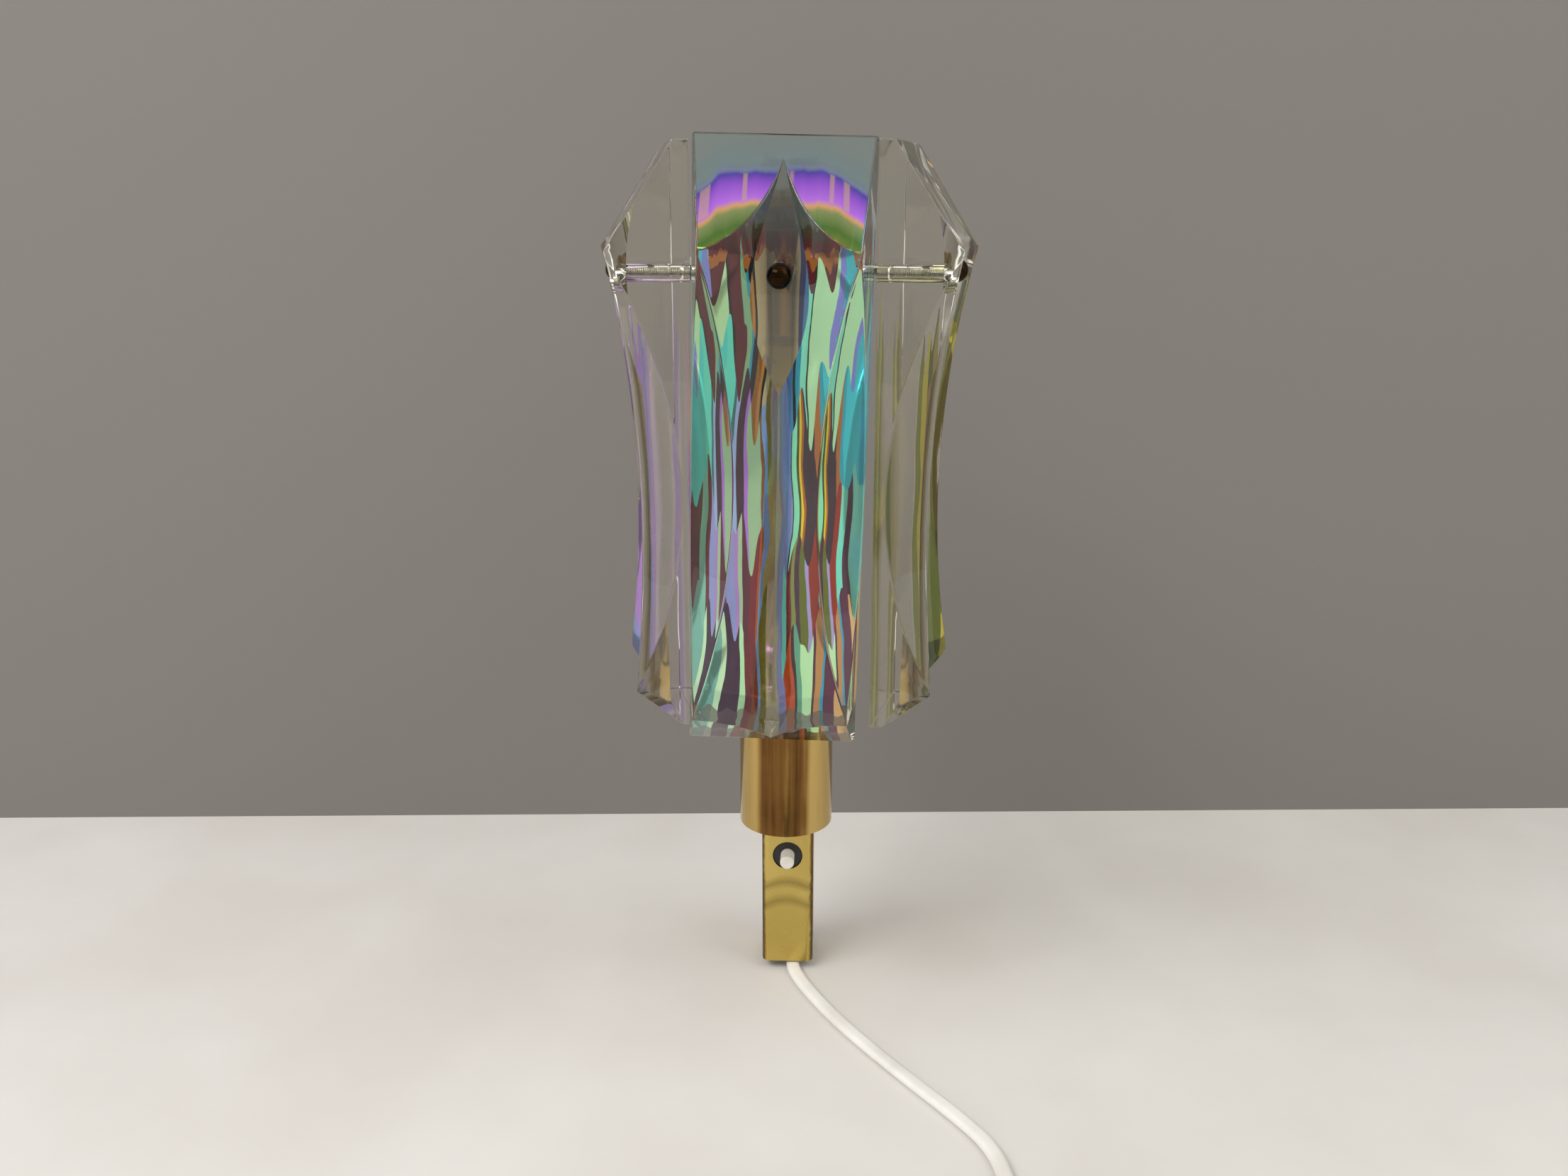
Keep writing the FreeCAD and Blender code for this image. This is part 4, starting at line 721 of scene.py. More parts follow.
# %% [markdown]
# The back face carries the coating and the roof a painted reflection of it, so their faces get materials of
# their own.
# The pattern follows the panel, not the room, so each point keeps its place on the panel (across,
# outwards, up, in metres) as an attribute that the shader reads. Then three copies are hung on their
# bolts: the front one, and one at 79 degrees to either side, each leaning a little in its hole's play.

# %% Hang three panels
RING_CENTRE = Vector((0, -38.0, 26.8)) * MM     # where the three bolts' axes meet
HOLE_PLAY = 0.7                                 # the holes' middles hang this far below the bolts'
HANGING = {                                     # the back face from the ring's middle, lean and turn
    "crystal_front": (39.5, 1.3, 0.0),
    "crystal_left": (35.5, 1.4, -79.0),
    "crystal_right": (35.5, -1.4, 79.0),
}
GLASS_SLOT, BACK_SLOT, ROOF_SLOT = 0, 1, 2
places = panel.data.attributes.new("panel_place", "FLOAT_VECTOR", "POINT")
for vertex, place in zip(panel.data.vertices, places.data):
    place.vector = (vertex.co.x, -vertex.co.y, vertex.co.z)
roof_normal = Vector((0.0, -(PANEL_HEIGHT - TIP_Z), TIP_DEPTH - STRIP)).normalized()
for face in panel.data.polygons:
    on_back = face.normal.y > 0.999 and abs(face.center.y) < 0.001 * MM
    on_roof = face.normal.dot(roof_normal) > 0.998 and face.center.z > TIP_Z * MM
    face.material_index = BACK_SLOT if on_back else ROOF_SLOT if on_roof else GLASS_SLOT

crystals = {}
for name, (back_face, lean, turn) in HANGING.items():
    glass = bpy.data.objects.new(name + "_glass", panel.data.copy())
    bpy.context.scene.collection.objects.link(glass)
    glass.data.transform(Matrix.Translation(RING_CENTRE)
                         @ Matrix.Rotation(math.radians(turn), 4, "Z")
                         @ Matrix.Rotation(math.radians(lean), 4, "Y")
                         @ Matrix.Translation(Vector((0, -back_face, -BOLT_Z - HOLE_PLAY)) * MM))
    crystals[name] = glass
    print(name, "CAD", box_mm(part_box(name)), "glass", box_mm([v.co for v in glass.data.vertices]))
bpy.data.objects.remove(panel)

# %% [markdown]
# ## Clear glass
# Lead glass, pressed and fire-polished: clear with a warm olive tint, and with faint waves in its skin
# that bend what is seen through it. A path tracer finds no lamp through two faces of glass, so rays that
# only look for a lamp go straight through, tinted, and the shadow on the table stays pale.

# %% Clear pressed glass
GLASS_IOR, GLASS_TINT, GLASS_SHADOW = 1.54, "#f7f5ea", "#eeece2"


def ripple_glass(tree, shader):
    """Give a face its faint waves, about 14 mm long, and return the place on the panel."""
    place = add_node(tree, "ShaderNodeAttribute", attribute_name="panel_place").outputs["Vector"]
    swell = add_node(tree, "ShaderNodeTexNoise", {"Vector": place, "Scale": patches(1000 / 70),
                                                  "Detail": 1.0})
    feed(tree, shader, {"IOR": GLASS_IOR, "Normal": add_node(tree, "ShaderNodeBump", {
        "Height": swell, "Strength": 0.12, "Distance": 1.0 * MM})})
    return place


clear_glass, tree, shader = new_material("pressed_lead_glass")
ripple_glass(tree, shader)
feed(tree, shader, {"Base Color": linear(GLASS_TINT), "Transmission Weight": 1.0, "Roughness": 0.01})
let_through(tree, shader, add_node(tree, "ShaderNodeLightPath").outputs["Is Shadow Ray"], GLASS_SHADOW)
print("glass ready")

# %% [markdown]
# ## The dichroic coating
# A coating of many thin films mirrors some colours and lets their complements through. Its colours here
# are partly its own and partly painted reflection: the back is covered with upright streaks that end in
# tongues, mirror-bright cyan, mint and sage where the film mirrors light, beside plum, maroon, amber and
# near black where it mirrors dark, and it is nearly clear along the middle. The pattern is one value across
# the panel, bent by stretched noise so that streaks wander, looked up in a table of colours. There are four
# tables, one above the other, and the height at which one gives way to the next is itself pushed up and
# down by noise across the panel, which draws out the tongues. The sloping roof has a table of its own, in
# bands that sag towards the sides. Each entry says from where, in millimetres across or up the panel, a
# colour holds.

# %% Tables of streaks
# Painted reflection, partly the coating's own colour: bright stops where the film mirrors light, dark ones
# where it mirrors dark.
STREAKS = {
    "upper": [
        (-28.5, "#3fc4d4"), (-24.8, "#7d8ad6"), (-23.4, "#b8e8b4"), (-19.2, "#1d1a16"), (-18.4, "#5a1f26"),
        (-15.6, "#7fb48c"), (-14.2, "#2f93b4"), (-13.4, "#14181c"), (-12.0, "#8a5c20"), (-10.2, "#b07a34"),
        (-9.0, "#1c1814"), (-8.1, "#b8ac88"), (-3.0, "#d8cca4"), (3.2, "#b8ac88"), (5.4, "#27346c"),
        (6.8, "#4c84c0"), (8.8, "#14282c"), (9.8, "#3296b4"), (12.0, "#7fe6cc"), (13.6, "#12302e"),
        (14.2, "#b8f0c0"), (19.8, "#8088e0"), (21.3, "#3cbcd0"), (26.5, "#2a98c0")],
    "middle": [
        (-28.5, "#4cd2d0"), (-20.5, "#62e0cc"), (-17.4, "#2f7278"), (-16.5, "#9cb4e8"), (-15.2, "#3c2030"),
        (-13.0, "#a874dc"), (-12.1, "#98c09c"), (-8.8, "#7a4a20"), (-8.2, "#7ca0d8"), (-7.1, "#7d6c14"),
        (-5.6, "#a89c98"), (-3.0, "#d0c4a0"), (3.4, "#9080a8"), (4.6, "#7890d4"), (7.8, "#202c26"),
        (8.4, "#84e4c0"), (10.4, "#3a4a14"), (11.2, "#e0cc10"), (12.2, "#a85c20"), (12.9, "#341e2e"),
        (15.8, "#b06c2c"), (17.0, "#28a8c0"), (18.2, "#36cce0"), (24.5, "#2cb0cc")],
    "lower": [
        (-28.5, "#5c1a20"), (-22.6, "#7cc4b4"), (-19.8, "#641410"), (-17.6, "#8c98dc"), (-15.8, "#a884d0"),
        (-14.6, "#a4c4a4"), (-13.6, "#541c34"), (-11.2, "#741824"), (-9.2, "#a84c18"), (-8.3, "#7c9cd0"),
        (-7.0, "#a89a50"), (-3.0, "#d0c49c"), (3.6, "#7c90d8"), (6.4, "#6ce0d8"), (7.8, "#6c1020"),
        (9.4, "#7c9048"), (10.6, "#40203c"), (12.0, "#5c6a08"), (13.8, "#a49cdc"), (14.8, "#8c2408"),
        (17.2, "#74e0d0"), (19.7, "#481c3c"), (22.2, "#7cdcd4")],
    "foot": [
        (-28.5, "#74b8b0"), (-20.4, "#c4f0cc"), (-18.8, "#341038"), (-14.6, "#b0ecbc"), (-13.2, "#6c101c"),
        (-11.2, "#84380c"), (-9.0, "#78a0d4"), (-7.9, "#6c680c"), (-5.4, "#d0c494"), (4.4, "#8890d8"),
        (6.8, "#c04808"), (9.4, "#240e0c"), (10.2, "#5ca48c"), (11.8, "#b8f0bc"), (15.1, "#4c1434"),
        (15.9, "#b88850"), (17.4, "#1c9cc4"), (18.2, "#541c40"), (21.2, "#d8b078")],
}
DUSK = [(150.0, "#5a1f26"), (164.0, "#a0622c"), (168.0, "#6c2028"), (172.0, "#4a4030"), (176.0, "#6c7c7c")]
ROOF_BANDS = [
    (150.0, "#8a5c28"), (163.5, "#a0743a"), (165.5, "#6d7a2c"), (170.0, "#3f6a1c"), (174.5, "#7c8a54"),
    (175.8, "#d09a60"), (177.4, "#b068e0"), (182.0, "#8a48c8"), (184.6, "#4434a0"), (185.8, "#7a86a8"),
    (187.5, "#8ca4a8"), (193.0, "#98a8a8"), (195.0, "#a4aeaa")]
ROOF_COVER = [(150.0, "#dddddd"), (184.0, "#cccccc"), (187.0, "#808080"), (195.0, "#707070")]
ROOF_SPAN = (150.0, 202.0)
BACK_SPAN = (-PANEL_HALF, PANEL_HALF)
print({name: len(stops) for name, stops in STREAKS.items()})

# %% [markdown]
# Three helpers serve every coated face. One turns clear glass into a coloured mirror by as much as the
# film covers it. One gives the place on the panel and three noises, stretched upright: a slow wander, the
# tips of the tongues and a fine shiver. One looks a value up in a table.

# %% How a coating shines
MOST_METALLIC = 0.7             # a full cover is partly a mirror and partly a coloured film
NOISES = (((20.0, 50.0), 1.0), ((25 / 6, 500 / 3), 0.3), ((2.0, 25.0), 2.0))      # (across, up) mm; detail


def coat_glass(tree, shader, colour, cover):
    """Cover, 0 to 1, turns clear glass into a mirror of a colour; lamps shine through the rest."""
    clear = add_node(tree, "ShaderNodeMath", {0: 1.0, 1: cover}, operation="SUBTRACT")
    feed(tree, shader, {
        "Base Color": colour, "Transmission Weight": clear, "Roughness": 0.08,
        "Metallic": add_node(tree, "ShaderNodeMath", {0: cover, 1: MOST_METALLIC}, operation="MULTIPLY")})
    ray = add_node(tree, "ShaderNodeLightPath")
    let_through(tree, shader, add_node(tree, "ShaderNodeMath", {
        0: ray.outputs["Is Shadow Ray"], 1: clear}, operation="MULTIPLY"), GLASS_SHADOW)


def panel_frame(tree, shader):
    """Across and up, in millimetres on the panel, and the three noises."""
    in_mm = add_node(tree, "ShaderNodeVectorMath", {0: ripple_glass(tree, shader), "Scale": 1 / MM},
                     operation="SCALE")
    parts = add_node(tree, "ShaderNodeSeparateXYZ", {0: in_mm})
    noises = []
    for (across_mm, up_mm), detail in NOISES:
        stretched = add_node(tree, "ShaderNodeMapping", {"Vector": in_mm,
                                                         "Scale": (1 / across_mm, 0.0, 1 / up_mm)})
        noises.append(add_node(tree, "ShaderNodeTexNoise", {"Vector": stretched, "Scale": 1.0,
                                                            "Detail": detail}))
    return parts.outputs[0], parts.outputs[2], *noises


def look_up(tree, value, span, stops, steps=True):
    """Colours from a table whose stops are in millimetres, in sharp steps or blended."""
    low, high = span
    share = add_node(tree, "ShaderNodeMapRange", {"Value": value, "From Min": low, "From Max": high})
    ramp = add_node(tree, "ShaderNodeValToRGB", {"Fac": share})
    ramp.color_ramp.interpolation = "CONSTANT" if steps else "LINEAR"
    return set_ramp(ramp, [((at - low) / (high - low), colour) for at, colour in stops])


print("coating helpers ready")

# %% [markdown]
# On the back the streaks spread towards the roof and the foot, and wander by a few millimetres with a finer
# shiver. The change from one table to the next is drawn up or down by some 20 mm, in tongues of about 4 mm
# across. Under the roof the streaks fade to maroon and amber, and then to thin grey film.

# %% Streaks of the coated back
WAIST_Z, SPREAD, SPREAD_AT_WAIST = 88.0, -2.2e-5, 1.04
WANDER_MM, SHIVER_MM = 9.0, 1.5
TONGUE_MM = 80.0                                # the noise runs from about 0.25 to 0.75 of this
HALF_TONGUE = TONGUE_MM / 2
DUSK_Z, DUSK_SHIVER = 159.0, 14.0
# The colours painted on the back are partly the coating's own and partly painted reflection, up to the grey
# film under the roof.
coating, tree, shader = new_material("dichroic_coating")
across, height, wander, tips, shiver = panel_frame(tree, shader)
off_waist = add_node(tree, "ShaderNodeMath", {0: height, 1: -WAIST_Z}, operation="ADD")
off_waist = add_node(tree, "ShaderNodeMath", {0: off_waist, 1: off_waist}, operation="MULTIPLY")
spread = add_node(tree, "ShaderNodeMath", {0: off_waist, 1: SPREAD, 2: SPREAD_AT_WAIST},
                  operation="MULTIPLY_ADD")
moved = add_node(tree, "ShaderNodeMath", {0: across, 1: spread}, operation="MULTIPLY")
for noise, reach in ((wander, WANDER_MM), (shiver, SHIVER_MM)):
    moved = add_node(tree, "ShaderNodeMath", {0: noise, 1: reach, 2: moved}, operation="MULTIPLY_ADD")
moved = add_node(tree, "ShaderNodeMath", {0: moved, 1: -(WANDER_MM + SHIVER_MM) / 2}, operation="ADD")

torn_height = add_node(tree, "ShaderNodeMath", {0: tips, 1: TONGUE_MM, 2: height},
                       operation="MULTIPLY_ADD")
dusk_height = add_node(tree, "ShaderNodeMath", {0: shiver, 1: DUSK_SHIVER, 2: height},
                       operation="MULTIPLY_ADD")
layers = [(level, look_up(tree, moved, BACK_SPAN, STREAKS[name])) for name, level in (
    ("foot", 0.0), ("lower", 42.0), ("middle", 80.0), ("upper", 122.0))]
layers.append((DUSK_Z, look_up(tree, dusk_height, ROOF_SPAN, DUSK)))
colour = layers[0][1].outputs[0]
for level, streaks in layers[1:]:
    above = add_node(tree, "ShaderNodeMath", {0: torn_height, 1: level + HALF_TONGUE},
                     operation="GREATER_THAN")
    colour = add_node(tree, "ShaderNodeMix", {0: above, 6: colour, 7: streaks},
                      data_type="RGBA").outputs[2]
print("streaks in", len(layers), "layers")

# %% [markdown]
# The film is dense at the sides, thin along the middle and near the top, and ends at a torn lower rim.

# %% Cover of the coated back
RIM_Z, RIM_TORN = 15.0, 9.0
off_middle = add_node(tree, "ShaderNodeMath", {0: moved}, operation="ABSOLUTE")
cover = add_node(tree, "ShaderNodeMapRange", {"Value": off_middle, "From Min": 4.0, "From Max": 9.0,
                                              "To Min": 0.06, "To Max": 0.97})
thin_top = add_node(tree, "ShaderNodeMapRange", {"Value": height, "From Min": 162.0, "From Max": 176.0,
                                                 "To Min": 1.0, "To Max": 0.3})
rim = add_node(tree, "ShaderNodeMath", {0: tips, 1: RIM_TORN, 2: height}, operation="MULTIPLY_ADD")
inside = add_node(tree, "ShaderNodeMath", {0: rim, 1: RIM_Z}, operation="GREATER_THAN")
for limit in (thin_top, inside):
    cover = add_node(tree, "ShaderNodeMath", {0: cover, 1: limit}, operation="MULTIPLY")
coat_glass(tree, shader, colour, cover)
print("back coated")

# %% [markdown]
# The roof carries a painted reflection of the coated back seen through it: level bands, violet over green
# over tan, which sag towards the sides. A few upright tan bars cross the violet.

# %% Coated roof
SAG = 0.011                     # millimetres of sag for each square millimetre off the middle
BAND_NOISE = (10.0, 1.0, 2.0)   # how far the wander, the shiver and the tips move the bands, in mm
BARS_Z, BARS_HALF = 181.0, 4.0
# Painted reflection of the coated back, seen through the roof facet.
roof_painted_reflection, tree, shader = new_material("painted_roof_reflection")
across, height, wander, tips, shiver = panel_frame(tree, shader)
level = add_node(tree, "ShaderNodeMath", {0: across, 1: across}, operation="MULTIPLY")
level = add_node(tree, "ShaderNodeMath", {0: level, 1: SAG, 2: height}, operation="MULTIPLY_ADD")
for noise, reach in zip((wander, shiver, tips), BAND_NOISE):
    level = add_node(tree, "ShaderNodeMath", {0: noise, 1: reach, 2: level}, operation="MULTIPLY_ADD")
level = add_node(tree, "ShaderNodeMath", {0: level, 1: -sum(BAND_NOISE) / 2}, operation="ADD")
bars = add_node(tree, "ShaderNodeMapRange", {"Value": tips, "From Min": 0.57, "From Max": 0.61,
                                             "To Max": 0.55})
in_band = add_node(tree, "ShaderNodeMath", {0: level, 1: BARS_Z, 2: BARS_HALF}, operation="COMPARE")
bars = add_node(tree, "ShaderNodeMath", {0: bars, 1: in_band}, operation="MULTIPLY")
bands = look_up(tree, level, ROOF_SPAN, ROOF_BANDS, steps=False)
barred = add_node(tree, "ShaderNodeMix", {0: bars, 6: bands, 7: linear("#c8a070")}, data_type="RGBA")
coat_glass(tree, shader, barred.outputs[2], look_up(tree, level, ROOF_SPAN, ROOF_COVER, steps=False))
print("roof coated")

# %% [markdown]
# The side panels carry only a few pale streaks near their edges, partly the film's own colour and partly
# painted reflection: violet on the left one, olive and yellow on the right. Their film ends below the roof.

# %% Side panels
SIDE_SPAN = (-24.0, 36.0)
SIDE_WANDER, SIDE_TONGUE, SIDE_TOP_Z = 12.0, 60.0, 135.0


def side_coating(name, stops):
    """A coating that is clear in the middle of the panel."""
    made, tree, shader = new_material(name)
    across, height, wander, tips, _ = panel_frame(tree, shader)
    moved = add_node(tree, "ShaderNodeMath", {0: wander, 1: SIDE_WANDER, 2: across},
                     operation="MULTIPLY_ADD")
    centred = add_node(tree, "ShaderNodeMath", {0: moved, 1: -SIDE_WANDER / 2}, operation="ADD")
    off_middle = add_node(tree, "ShaderNodeMath", {0: centred}, operation="ABSOLUTE")
    cover = add_node(tree, "ShaderNodeMapRange", {"Value": off_middle, "From Min": 6.0, "From Max": 12.0,
                                                  "To Min": 0.04, "To Max": 0.92})
    torn_height = add_node(tree, "ShaderNodeMath", {0: tips, 1: SIDE_TONGUE, 2: height},
                           operation="MULTIPLY_ADD")
    below = add_node(tree, "ShaderNodeMath", {0: torn_height, 1: SIDE_TOP_Z + SIDE_TONGUE / 2},
                     operation="LESS_THAN")
    coat_glass(tree, shader, look_up(tree, moved, SIDE_SPAN, stops),
               add_node(tree, "ShaderNodeMath", {0: cover, 1: below}, operation="MULTIPLY"))
    return made


# Painted reflection and film colour: these streaks stand for glints seen in the side panels.
violet_side = side_coating("dichroic_violet", [
    (-24.0, "#b48ae4"), (-14.0, "#8c9ce0"), (-11.0, "#c4a0e8"), (-7.0, "#d8c8e4"), (0.0, "#c8c4b4"),
    (16.0, "#b8a0dc"), (21.0, "#e4a0b8"), (25.0, "#d8a078"), (30.0, "#8c9ce0")])
olive_side = side_coating("dichroic_olive", [
    (-24.0, "#8c9a20"), (-15.0, "#c8c428"), (-11.0, "#6c7a18"), (-7.0, "#a8a078"), (0.0, "#c8c4b4"),
    (16.0, "#8c9428"), (21.0, "#d8cc40"), (25.0, "#5c6a18"), (30.0, "#a89c50")])
COATED = {                      # clear faces, back and roof
    "crystal_front": (clear_glass, coating, roof_painted_reflection),
    "crystal_left": (clear_glass, violet_side, clear_glass),
    "crystal_right": (clear_glass, olive_side, clear_glass),
}
for name, finishes in COATED.items():
    for finish in finishes:
        crystals[name].data.materials.append(finish)
print("coating ready")

# %% [markdown]
# ## Brass
# The channel and the tube are brass sheet under clear lacquer. The tube has gone brown in upright streaks
# where the lacquer failed. Its sides are painted lighter and its front darker, a painted reflection of the
# bright sides of the room and the dim room in front. One value says how clean and how lit the brass is
# painted at a place, from how far round the tube it is and from two noises, and a table gives its colour.

# %% Brass of the tube and the ring
tube_brass, tree, shader = new_material("lacquered_brass_tube")
place = add_node(tree, "ShaderNodeTexCoord").outputs["Object"]
upright = add_node(tree, "ShaderNodeMapping", {
    "Vector": place, "Scale": (patches(1000 / 330), patches(1000 / 330), patches(1000 / 8))})
streaks = add_node(tree, "ShaderNodeTexNoise", {"Vector": upright, "Scale": 1.0, "Detail": 2.0})
clouds = add_node(tree, "ShaderNodeTexNoise", {"Vector": place, "Scale": patches(1000 / 45),
                                               "Detail": 5.0})
off_axis = add_node(tree, "ShaderNodeMath", {0: add_node(tree, "ShaderNodeSeparateXYZ", {0: place})},
                    operation="ABSOLUTE")
# Painted reflection: the sides of the tube are painted lighter than its front.
painted_lit_sides = add_node(tree, "ShaderNodeMapRange", {"Value": off_axis, "From Min": 8.0 * MM,
                                                "From Max": 10.5 * MM})
clean_and_painted_lit = 0.1
for share, weight in ((painted_lit_sides, 0.45), (streaks, 0.55), (clouds, 0.25)):
    clean_and_painted_lit = add_node(tree, "ShaderNodeMath", {0: share, 1: weight, 2: clean_and_painted_lit},
                         operation="MULTIPLY_ADD")
feed(tree, shader, {
    "Base Color": set_ramp(add_node(tree, "ShaderNodeValToRGB", {"Fac": clean_and_painted_lit}), [
        (0.34, "#3c2c14"), (0.44, "#6a4a28"), (0.52, "#7d5c30"), (0.66, "#a88a50"), (0.9, "#c4a868")]),
    "Metallic": 1.0,
    "Roughness": add_node(tree, "ShaderNodeMapRange", {
        "Value": clouds, "From Min": 0.3, "From Max": 0.7, "To Min": 0.1, "To Max": 0.2}),
    "Normal": add_node(tree, "ShaderNodeBump", {"Height": clouds, "Strength": 0.08, "Distance": 0.5 * MM})})
print("tube brass ready")

# %% [markdown]
# The channel's lacquer is rubbed through where each fold turns to the side, and the brass has gone brown
# there. Two shallow dents lie across its front, 36 and 28 mm above its foot, with painted shade in them;
# they are level bands that sag towards the sides, drawn by a table of heights.

# %% Where the channel is worn and dented
DENT_SAG, DENTS_FOOT, DENTS_HEAD = 35.0, -233.2 * MM, -205.5 * MM
bar_brass, tree, shader = new_material("lacquered_brass_sheet")
place = add_node(tree, "ShaderNodeTexCoord").outputs["Object"]
spots = add_node(tree, "ShaderNodeTexNoise", {"Vector": place, "Scale": patches(6.25), "Detail": 6.0})
cloudy = add_node(tree, "ShaderNodeTexNoise", {"Vector": place, "Scale": patches(25.0), "Detail": 3.0})
across, outwards, height = add_node(tree, "ShaderNodeSeparateXYZ", {0: place}).outputs
from_middle = add_node(tree, "ShaderNodeMath", {0: across}, operation="ABSOLUTE")
from_wall = add_node(tree, "ShaderNodeMath", {0: outwards, 1: -1.0}, operation="MULTIPLY")
rubbed = []
for reach, ragged_mm, low_mm, high_mm in ((from_middle, 2.2, 9.8, 10.8), (from_wall, 4.0, 17.4, 19.2)):
    ragged = add_node(tree, "ShaderNodeMath", {0: spots, 1: ragged_mm * MM, 2: reach},
                      operation="MULTIPLY_ADD")
    rubbed.append(add_node(tree, "ShaderNodeMapRange", {"Value": ragged, "From Min": low_mm * MM,
                                                        "From Max": high_mm * MM}))
rubbed = add_node(tree, "ShaderNodeMath", {0: rubbed[0], 1: rubbed[1]}, operation="MULTIPLY")
arched = add_node(tree, "ShaderNodeMath", {0: across, 1: across}, operation="MULTIPLY")
arched = add_node(tree, "ShaderNodeMath", {0: arched, 1: DENT_SAG, 2: height}, operation="MULTIPLY_ADD")
arched = add_node(tree, "ShaderNodeMapRange", {"Value": arched, "From Min": DENTS_FOOT,
                                               "From Max": DENTS_HEAD})
dents = set_ramp(add_node(tree, "ShaderNodeValToRGB", {"Fac": arched}), [
    (0.2, "#ffffff"), (0.32, "#606060"), (0.44, "#ffffff"), (0.52, "#ffffff"), (0.62, "#404040"),
    (0.74, "#ffffff")])
print("wear placed")

# %% [markdown]
# The brass itself is golden with faint clouds. Worn places have a brown of their own, and the dents are
# both a painted darker shade and a shallow bump.

# %% Brass of the channel
ground = set_ramp(add_node(tree, "ShaderNodeValToRGB", {"Fac": cloudy}),
                  [(0.35, "#c4ac5e"), (0.65, "#d2ba6c")])
worn = set_ramp(add_node(tree, "ShaderNodeValToRGB", {"Fac": spots}), [(0.4, "#4a3316"), (0.6, "#7d5c2a")])
# Painted shade: the brass colour is darkened in the dents.
dent_painted_shade = add_node(tree, "ShaderNodeMath", {0: dents, 1: -0.6, 2: 0.6}, operation="MULTIPLY_ADD")
with_painted_dent_shade = add_node(tree, "ShaderNodeMix", {0: dent_painted_shade, 6: ground, 7: linear("#7d6c38")}, data_type="RGBA")
relief = add_node(tree, "ShaderNodeMath", {0: cloudy, 1: 0.4, 2: dents}, operation="MULTIPLY_ADD")
feed(tree, shader, {
    "Base Color": add_node(tree, "ShaderNodeMix", {0: rubbed, 6: with_painted_dent_shade.outputs[2], 7: worn},
                           data_type="RGBA").outputs[2],
    "Metallic": 1.0,
    "Roughness": add_node(tree, "ShaderNodeMapRange", {
        "Value": spots, "From Min": 0.3, "From Max": 0.7, "To Min": 0.24, "To Max": 0.36}),
    "Normal": add_node(tree, "ShaderNodeBump", {"Height": relief, "Strength": 0.5, "Distance": 0.5 * MM})})
print("channel brass ready")

# %% [markdown]
# ## Small parts of metal and plastic
# The rivets and the cap nut are polished brass, the ball nuts are dark bronzed brass, painted nearly black
# as a reflection of the dim room in front, and the bolts, nuts and washers are zinc plated steel. Moulded
# and extruded plastics are seen mostly as colour and sheen, with the faint orange peel of a moulded skin
# and a
# little dust. All of them are one recipe: a fine noise that varies colour and sheen, and another, or the
# same, as a shallow bump.

# %% A recipe for small parts
def small_part(name, colours, sheen, patch_mm, detail, bump, metallic=0.0, peel_mm=None):
    """colours are dark and light, sheen the lowest and highest roughness, bump (strength, depth in mm)."""
    made, tree, shader = new_material(name)
    place = add_node(tree, "ShaderNodeTexCoord").outputs["Object"]
    grain = add_node(tree, "ShaderNodeTexNoise", {"Vector": place, "Scale": patches(patch_mm),
                                                  "Detail": detail})
    skin = grain if peel_mm is None else add_node(tree, "ShaderNodeTexNoise", {
        "Vector": place, "Scale": patches(peel_mm), "Detail": 1.0})
    feed(tree, shader, {
        "Base Color": set_ramp(add_node(tree, "ShaderNodeValToRGB", {"Fac": grain}),
                               [(0.35, colours[0]), (0.65, colours[1])]),
        "Metallic": metallic,
        "Roughness": add_node(tree, "ShaderNodeMapRange", {
            "Value": grain, "From Min": 0.3, "From Max": 0.7, "To Min": sheen[0], "To Max": sheen[1]}),
        "Normal": add_node(tree, "ShaderNodeBump", {
            "Height": skin, "Strength": bump[0], "Distance": bump[1] * MM})})
    return made


def grained_metal(name, dark, light, rough, grain_mm, depth_mm):
    """A bare or plated metal; its grain is drawn coarser than the real one, so that it shows."""
    return small_part(name, (dark, light), (rough * 0.75, rough * 1.3), grain_mm, 3.0, (0.3, depth_mm),
                      metallic=1.0)


def moulded(name, dark, light, rough):
    """A moulded or extruded plastic, with dust in patches of 8 mm and a skin of 1 mm dimples."""
    return small_part(name, (dark, light), (rough * 0.85, rough * 1.2), 1000 / 120, 5.0, (0.2, 0.05),
                      peel_mm=1000 / 900)


# %% [markdown]
# Each finish gives the eye something of its own: polished brass mirrors, zinc is pale and dull, nickel is
# bright and a little warm, bakelite is nearly black with a low shine, and urea is a warm white.

# %% Metals and plastics
polished_brass = grained_metal("polished_brass", "#a8803c", "#d8b468", 0.16, 4.0, 0.05)
# Painted reflection: the ball nuts' bronze is painted nearly black for the dim room that they mirror.
bronze_painted_dark = grained_metal("bronzed_brass", "#140e08", "#30200f", 0.06, 6.0, 0.01)
plain_brass = grained_metal("drawn_brass", "#b89450", "#d2b06c", 0.3, 2.0, 0.05)
zinc_plate = grained_metal("zinc_plated_steel", "#b3b1a9", "#c9c7c0", 0.3, 2.5, 0.01)
nickel = grained_metal("nickel_plated_brass", "#bdb9b0", "#dcd9d2", 0.14, 3.0, 0.02)
bakelite = moulded("black_bakelite", "#141211", "#231f1c", 0.35)
black_abs = moulded("black_abs_switch", "#161616", "#242322", 0.4)
rubber = moulded("black_rubber_grommet", "#1a1918", "#2a2826", 0.7)
white_urea = moulded("white_urea_button", "#dedad0", "#eeebe3", 0.3)
block_white = moulded("white_terminal_plastic", "#cfcbc0", "#e0dcd2", 0.5)
brown_wire = moulded("brown_pvc_wire", "#3f2416", "#593522", 0.45)
blue_wire = moulded("blue_pvc_wire", "#23407a", "#33559a", 0.45)
white_plug = moulded("white_pvc_plug", "#dad7d0", "#e9e6e0", 0.4)
print("small parts' finishes ready")

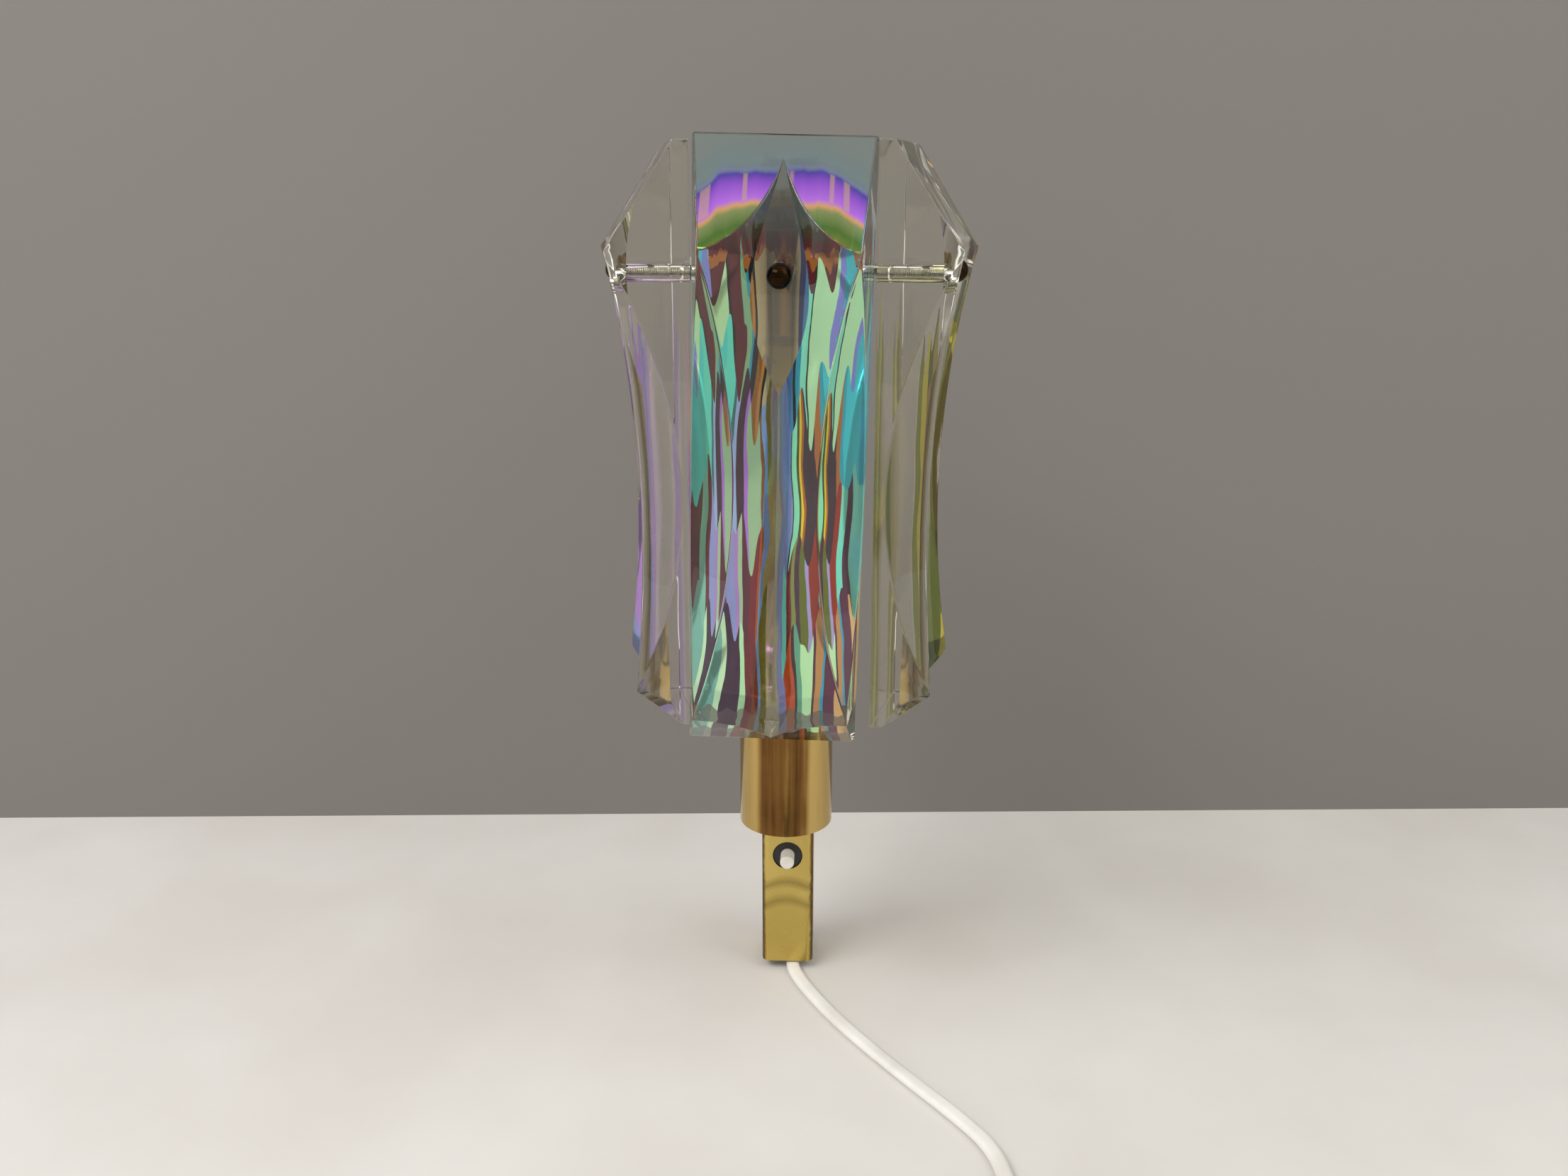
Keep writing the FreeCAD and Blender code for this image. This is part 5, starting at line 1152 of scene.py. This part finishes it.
# %% [markdown]
# ## Threaded bolts
# Three bolts carry the panels, and the photograph shows their thread through the glass. A small geometry
# node group makes one from its length, radius, pitch and depth: a cylinder whose skin is drawn in along a
# helix. Its result is kept as a plain mesh, laid along each bolt's axis.

# %% A node group that cuts a thread
group = bpy.data.node_groups.new("threaded_bolt", "GeometryNodeTree")
group.interface.new_socket("Geometry", in_out="OUTPUT", socket_type="NodeSocketGeometry")
for name in ("Length", "Radius", "Pitch", "Depth"):
    group.interface.new_socket(name, in_out="INPUT", socket_type="NodeSocketFloat")
group.interface.new_socket("Finish", in_out="INPUT", socket_type="NodeSocketMaterial")
given = add_node(group, "NodeGroupInput").outputs
cylinder = add_node(group, "GeometryNodeMeshCylinder", {
    "Vertices": 40, "Side Segments": 560, "Radius": given["Radius"], "Depth": given["Length"]})
spot = add_node(group, "GeometryNodeInputPosition")
x, y, z = add_node(group, "ShaderNodeSeparateXYZ", {0: spot}).outputs
turn = add_node(group, "ShaderNodeMath", {0: y, 1: x}, operation="ARCTAN2")
climb = add_node(group, "ShaderNodeMath", {0: z, 1: given["Pitch"]}, operation="DIVIDE")
phase = add_node(group, "ShaderNodeMath", {0: climb, 1: math.tau, 2: turn}, operation="MULTIPLY_ADD")
wave = add_node(group, "ShaderNodeMath", {0: phase}, operation="SINE")
wave = add_node(group, "ShaderNodeMath", {0: wave, 1: -0.5, 2: -0.5}, operation="MULTIPLY_ADD")
drawn = add_node(group, "ShaderNodeMath", {0: wave, 1: given["Depth"]}, operation="MULTIPLY")
drawn = add_node(group, "ShaderNodeMath", {0: drawn, 1: given["Radius"]}, operation="DIVIDE")
off_axis = add_node(group, "ShaderNodeCombineXYZ", {0: x, 1: y})
shift = add_node(group, "ShaderNodeVectorMath", {0: off_axis, "Scale": drawn}, operation="SCALE")
threaded = add_node(group, "GeometryNodeSetPosition", {"Geometry": cylinder, "Offset": shift})
solid = add_node(group, "GeometryNodeRealizeInstances", {"Geometry": threaded})
painted = add_node(group, "GeometryNodeSetMaterial", {"Geometry": solid, "Material": given["Finish"]})
add_node(group, "NodeGroupOutput", {0: painted})
print("thread group:", len(group.nodes), "nodes")

# %% [markdown]
# Each bolt is the same group with a length of its own. A modifier's inputs are set by their identifiers,
# and the cylinder, which is made upright, is laid along the bolt's axis and turned towards its panel.

# %% Three bolts
BOLT_START = 12.39              # a bolt's inner end, from the ring's middle
BOLTS = {                       # turn, and how far out the bolt ends
    "crystal_rod_front": (0.0, 63.05),
    "crystal_rod_left": (-79.0, 59.05),
    "crystal_rod_right": (79.0, 59.05),
}
bolts = {}
for name, (turned, tip) in BOLTS.items():
    bolt = mesh_object(name + "_bolt", [(0, 0, 0)], [])
    thread = bolt.modifiers.new("thread", "NODES")
    thread.node_group = group
    length = (tip - BOLT_START) * MM
    values = {"Length": length, "Radius": 2.0 * MM, "Pitch": 0.7 * MM, "Depth": 0.38 * MM,
              "Finish": zinc_plate}
    for item in group.interface.items_tree:
        if item.in_out == "INPUT":
            thread[item.identifier] = values[item.name]
    apply_modifiers(bolt)
    bolt.data.transform(Matrix.Translation(RING_CENTRE)
                        @ Matrix.Rotation(math.radians(turned), 4, "Z")
                        @ Matrix.Translation(Vector((0, -BOLT_START * MM - length / 2, 0)))
                        @ Matrix.Rotation(math.radians(90), 4, "X"))
    bolt.data.shade_smooth()
    bolts[name] = bolt
    print(name, "CAD", box_mm(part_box(name)), "bolt", box_mm([v.co for v in bolt.data.vertices]),
          len(bolt.data.polygons), "faces")

# %% [markdown]
# ## Dress the CAD parts
# The metal and plastic parts keep their CAD meshes, because a drawn tube or a nut is already right there;
# each only gets its finish. What no line names is a nut, washer, screw or plate of zinc plated steel.

# %% Finishes of the CAD parts
FINISHES = {
    bar_brass: ["wall_bar"],
    tube_brass: ["tube_sleeve", "tube_bottom_disc", "top_ring"],
    polished_brass: ["stud_cap_nut", "stud_spacer", "tube_rivets", "ring_rivets"],
    bronze_painted_dark: ["ball_nut_front", "ball_nut_left", "ball_nut_right"],
    plain_brass: ["lampholder_shell", "lampholder_contact", "switch_terminals"],
    nickel: ["plug_pins"],
    bakelite: ["lampholder_base", "lampholder_body"],
    black_abs: ["switch_shell", "switch_lid"],
    rubber: ["wire_grommet"],
    white_urea: ["switch_button"],
    block_white: ["terminal_block"],
    brown_wire: ["wire_supply", "wire_switched"],
    blue_wire: ["wire_return"],
    white_plug: ["plug_body"],
}
dressed = {node: finish for finish, nodes in FINISHES.items() for node in nodes}
for name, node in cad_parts.items():
    finish = dressed.get(name, zinc_plate)
    for slot in node.material_slots:
        slot.material = finish
    if not node.material_slots:
        node.data.materials.append(finish)
print("zinc plated:", sorted(set(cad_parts) - set(dressed)))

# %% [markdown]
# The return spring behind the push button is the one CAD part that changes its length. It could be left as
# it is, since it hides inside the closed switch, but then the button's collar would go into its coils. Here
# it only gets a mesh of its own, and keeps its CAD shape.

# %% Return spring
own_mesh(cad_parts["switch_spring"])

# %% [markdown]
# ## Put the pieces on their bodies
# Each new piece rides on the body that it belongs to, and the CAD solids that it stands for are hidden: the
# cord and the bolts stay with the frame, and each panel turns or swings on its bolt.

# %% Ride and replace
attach(flex, "frame")
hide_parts("power_cord", "cord_coil", "cord_tail")
for name, glass in crystals.items():
    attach(glass, name)
    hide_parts(name)
for name, bolt in bolts.items():
    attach(bolt, "frame")
    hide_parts(name)
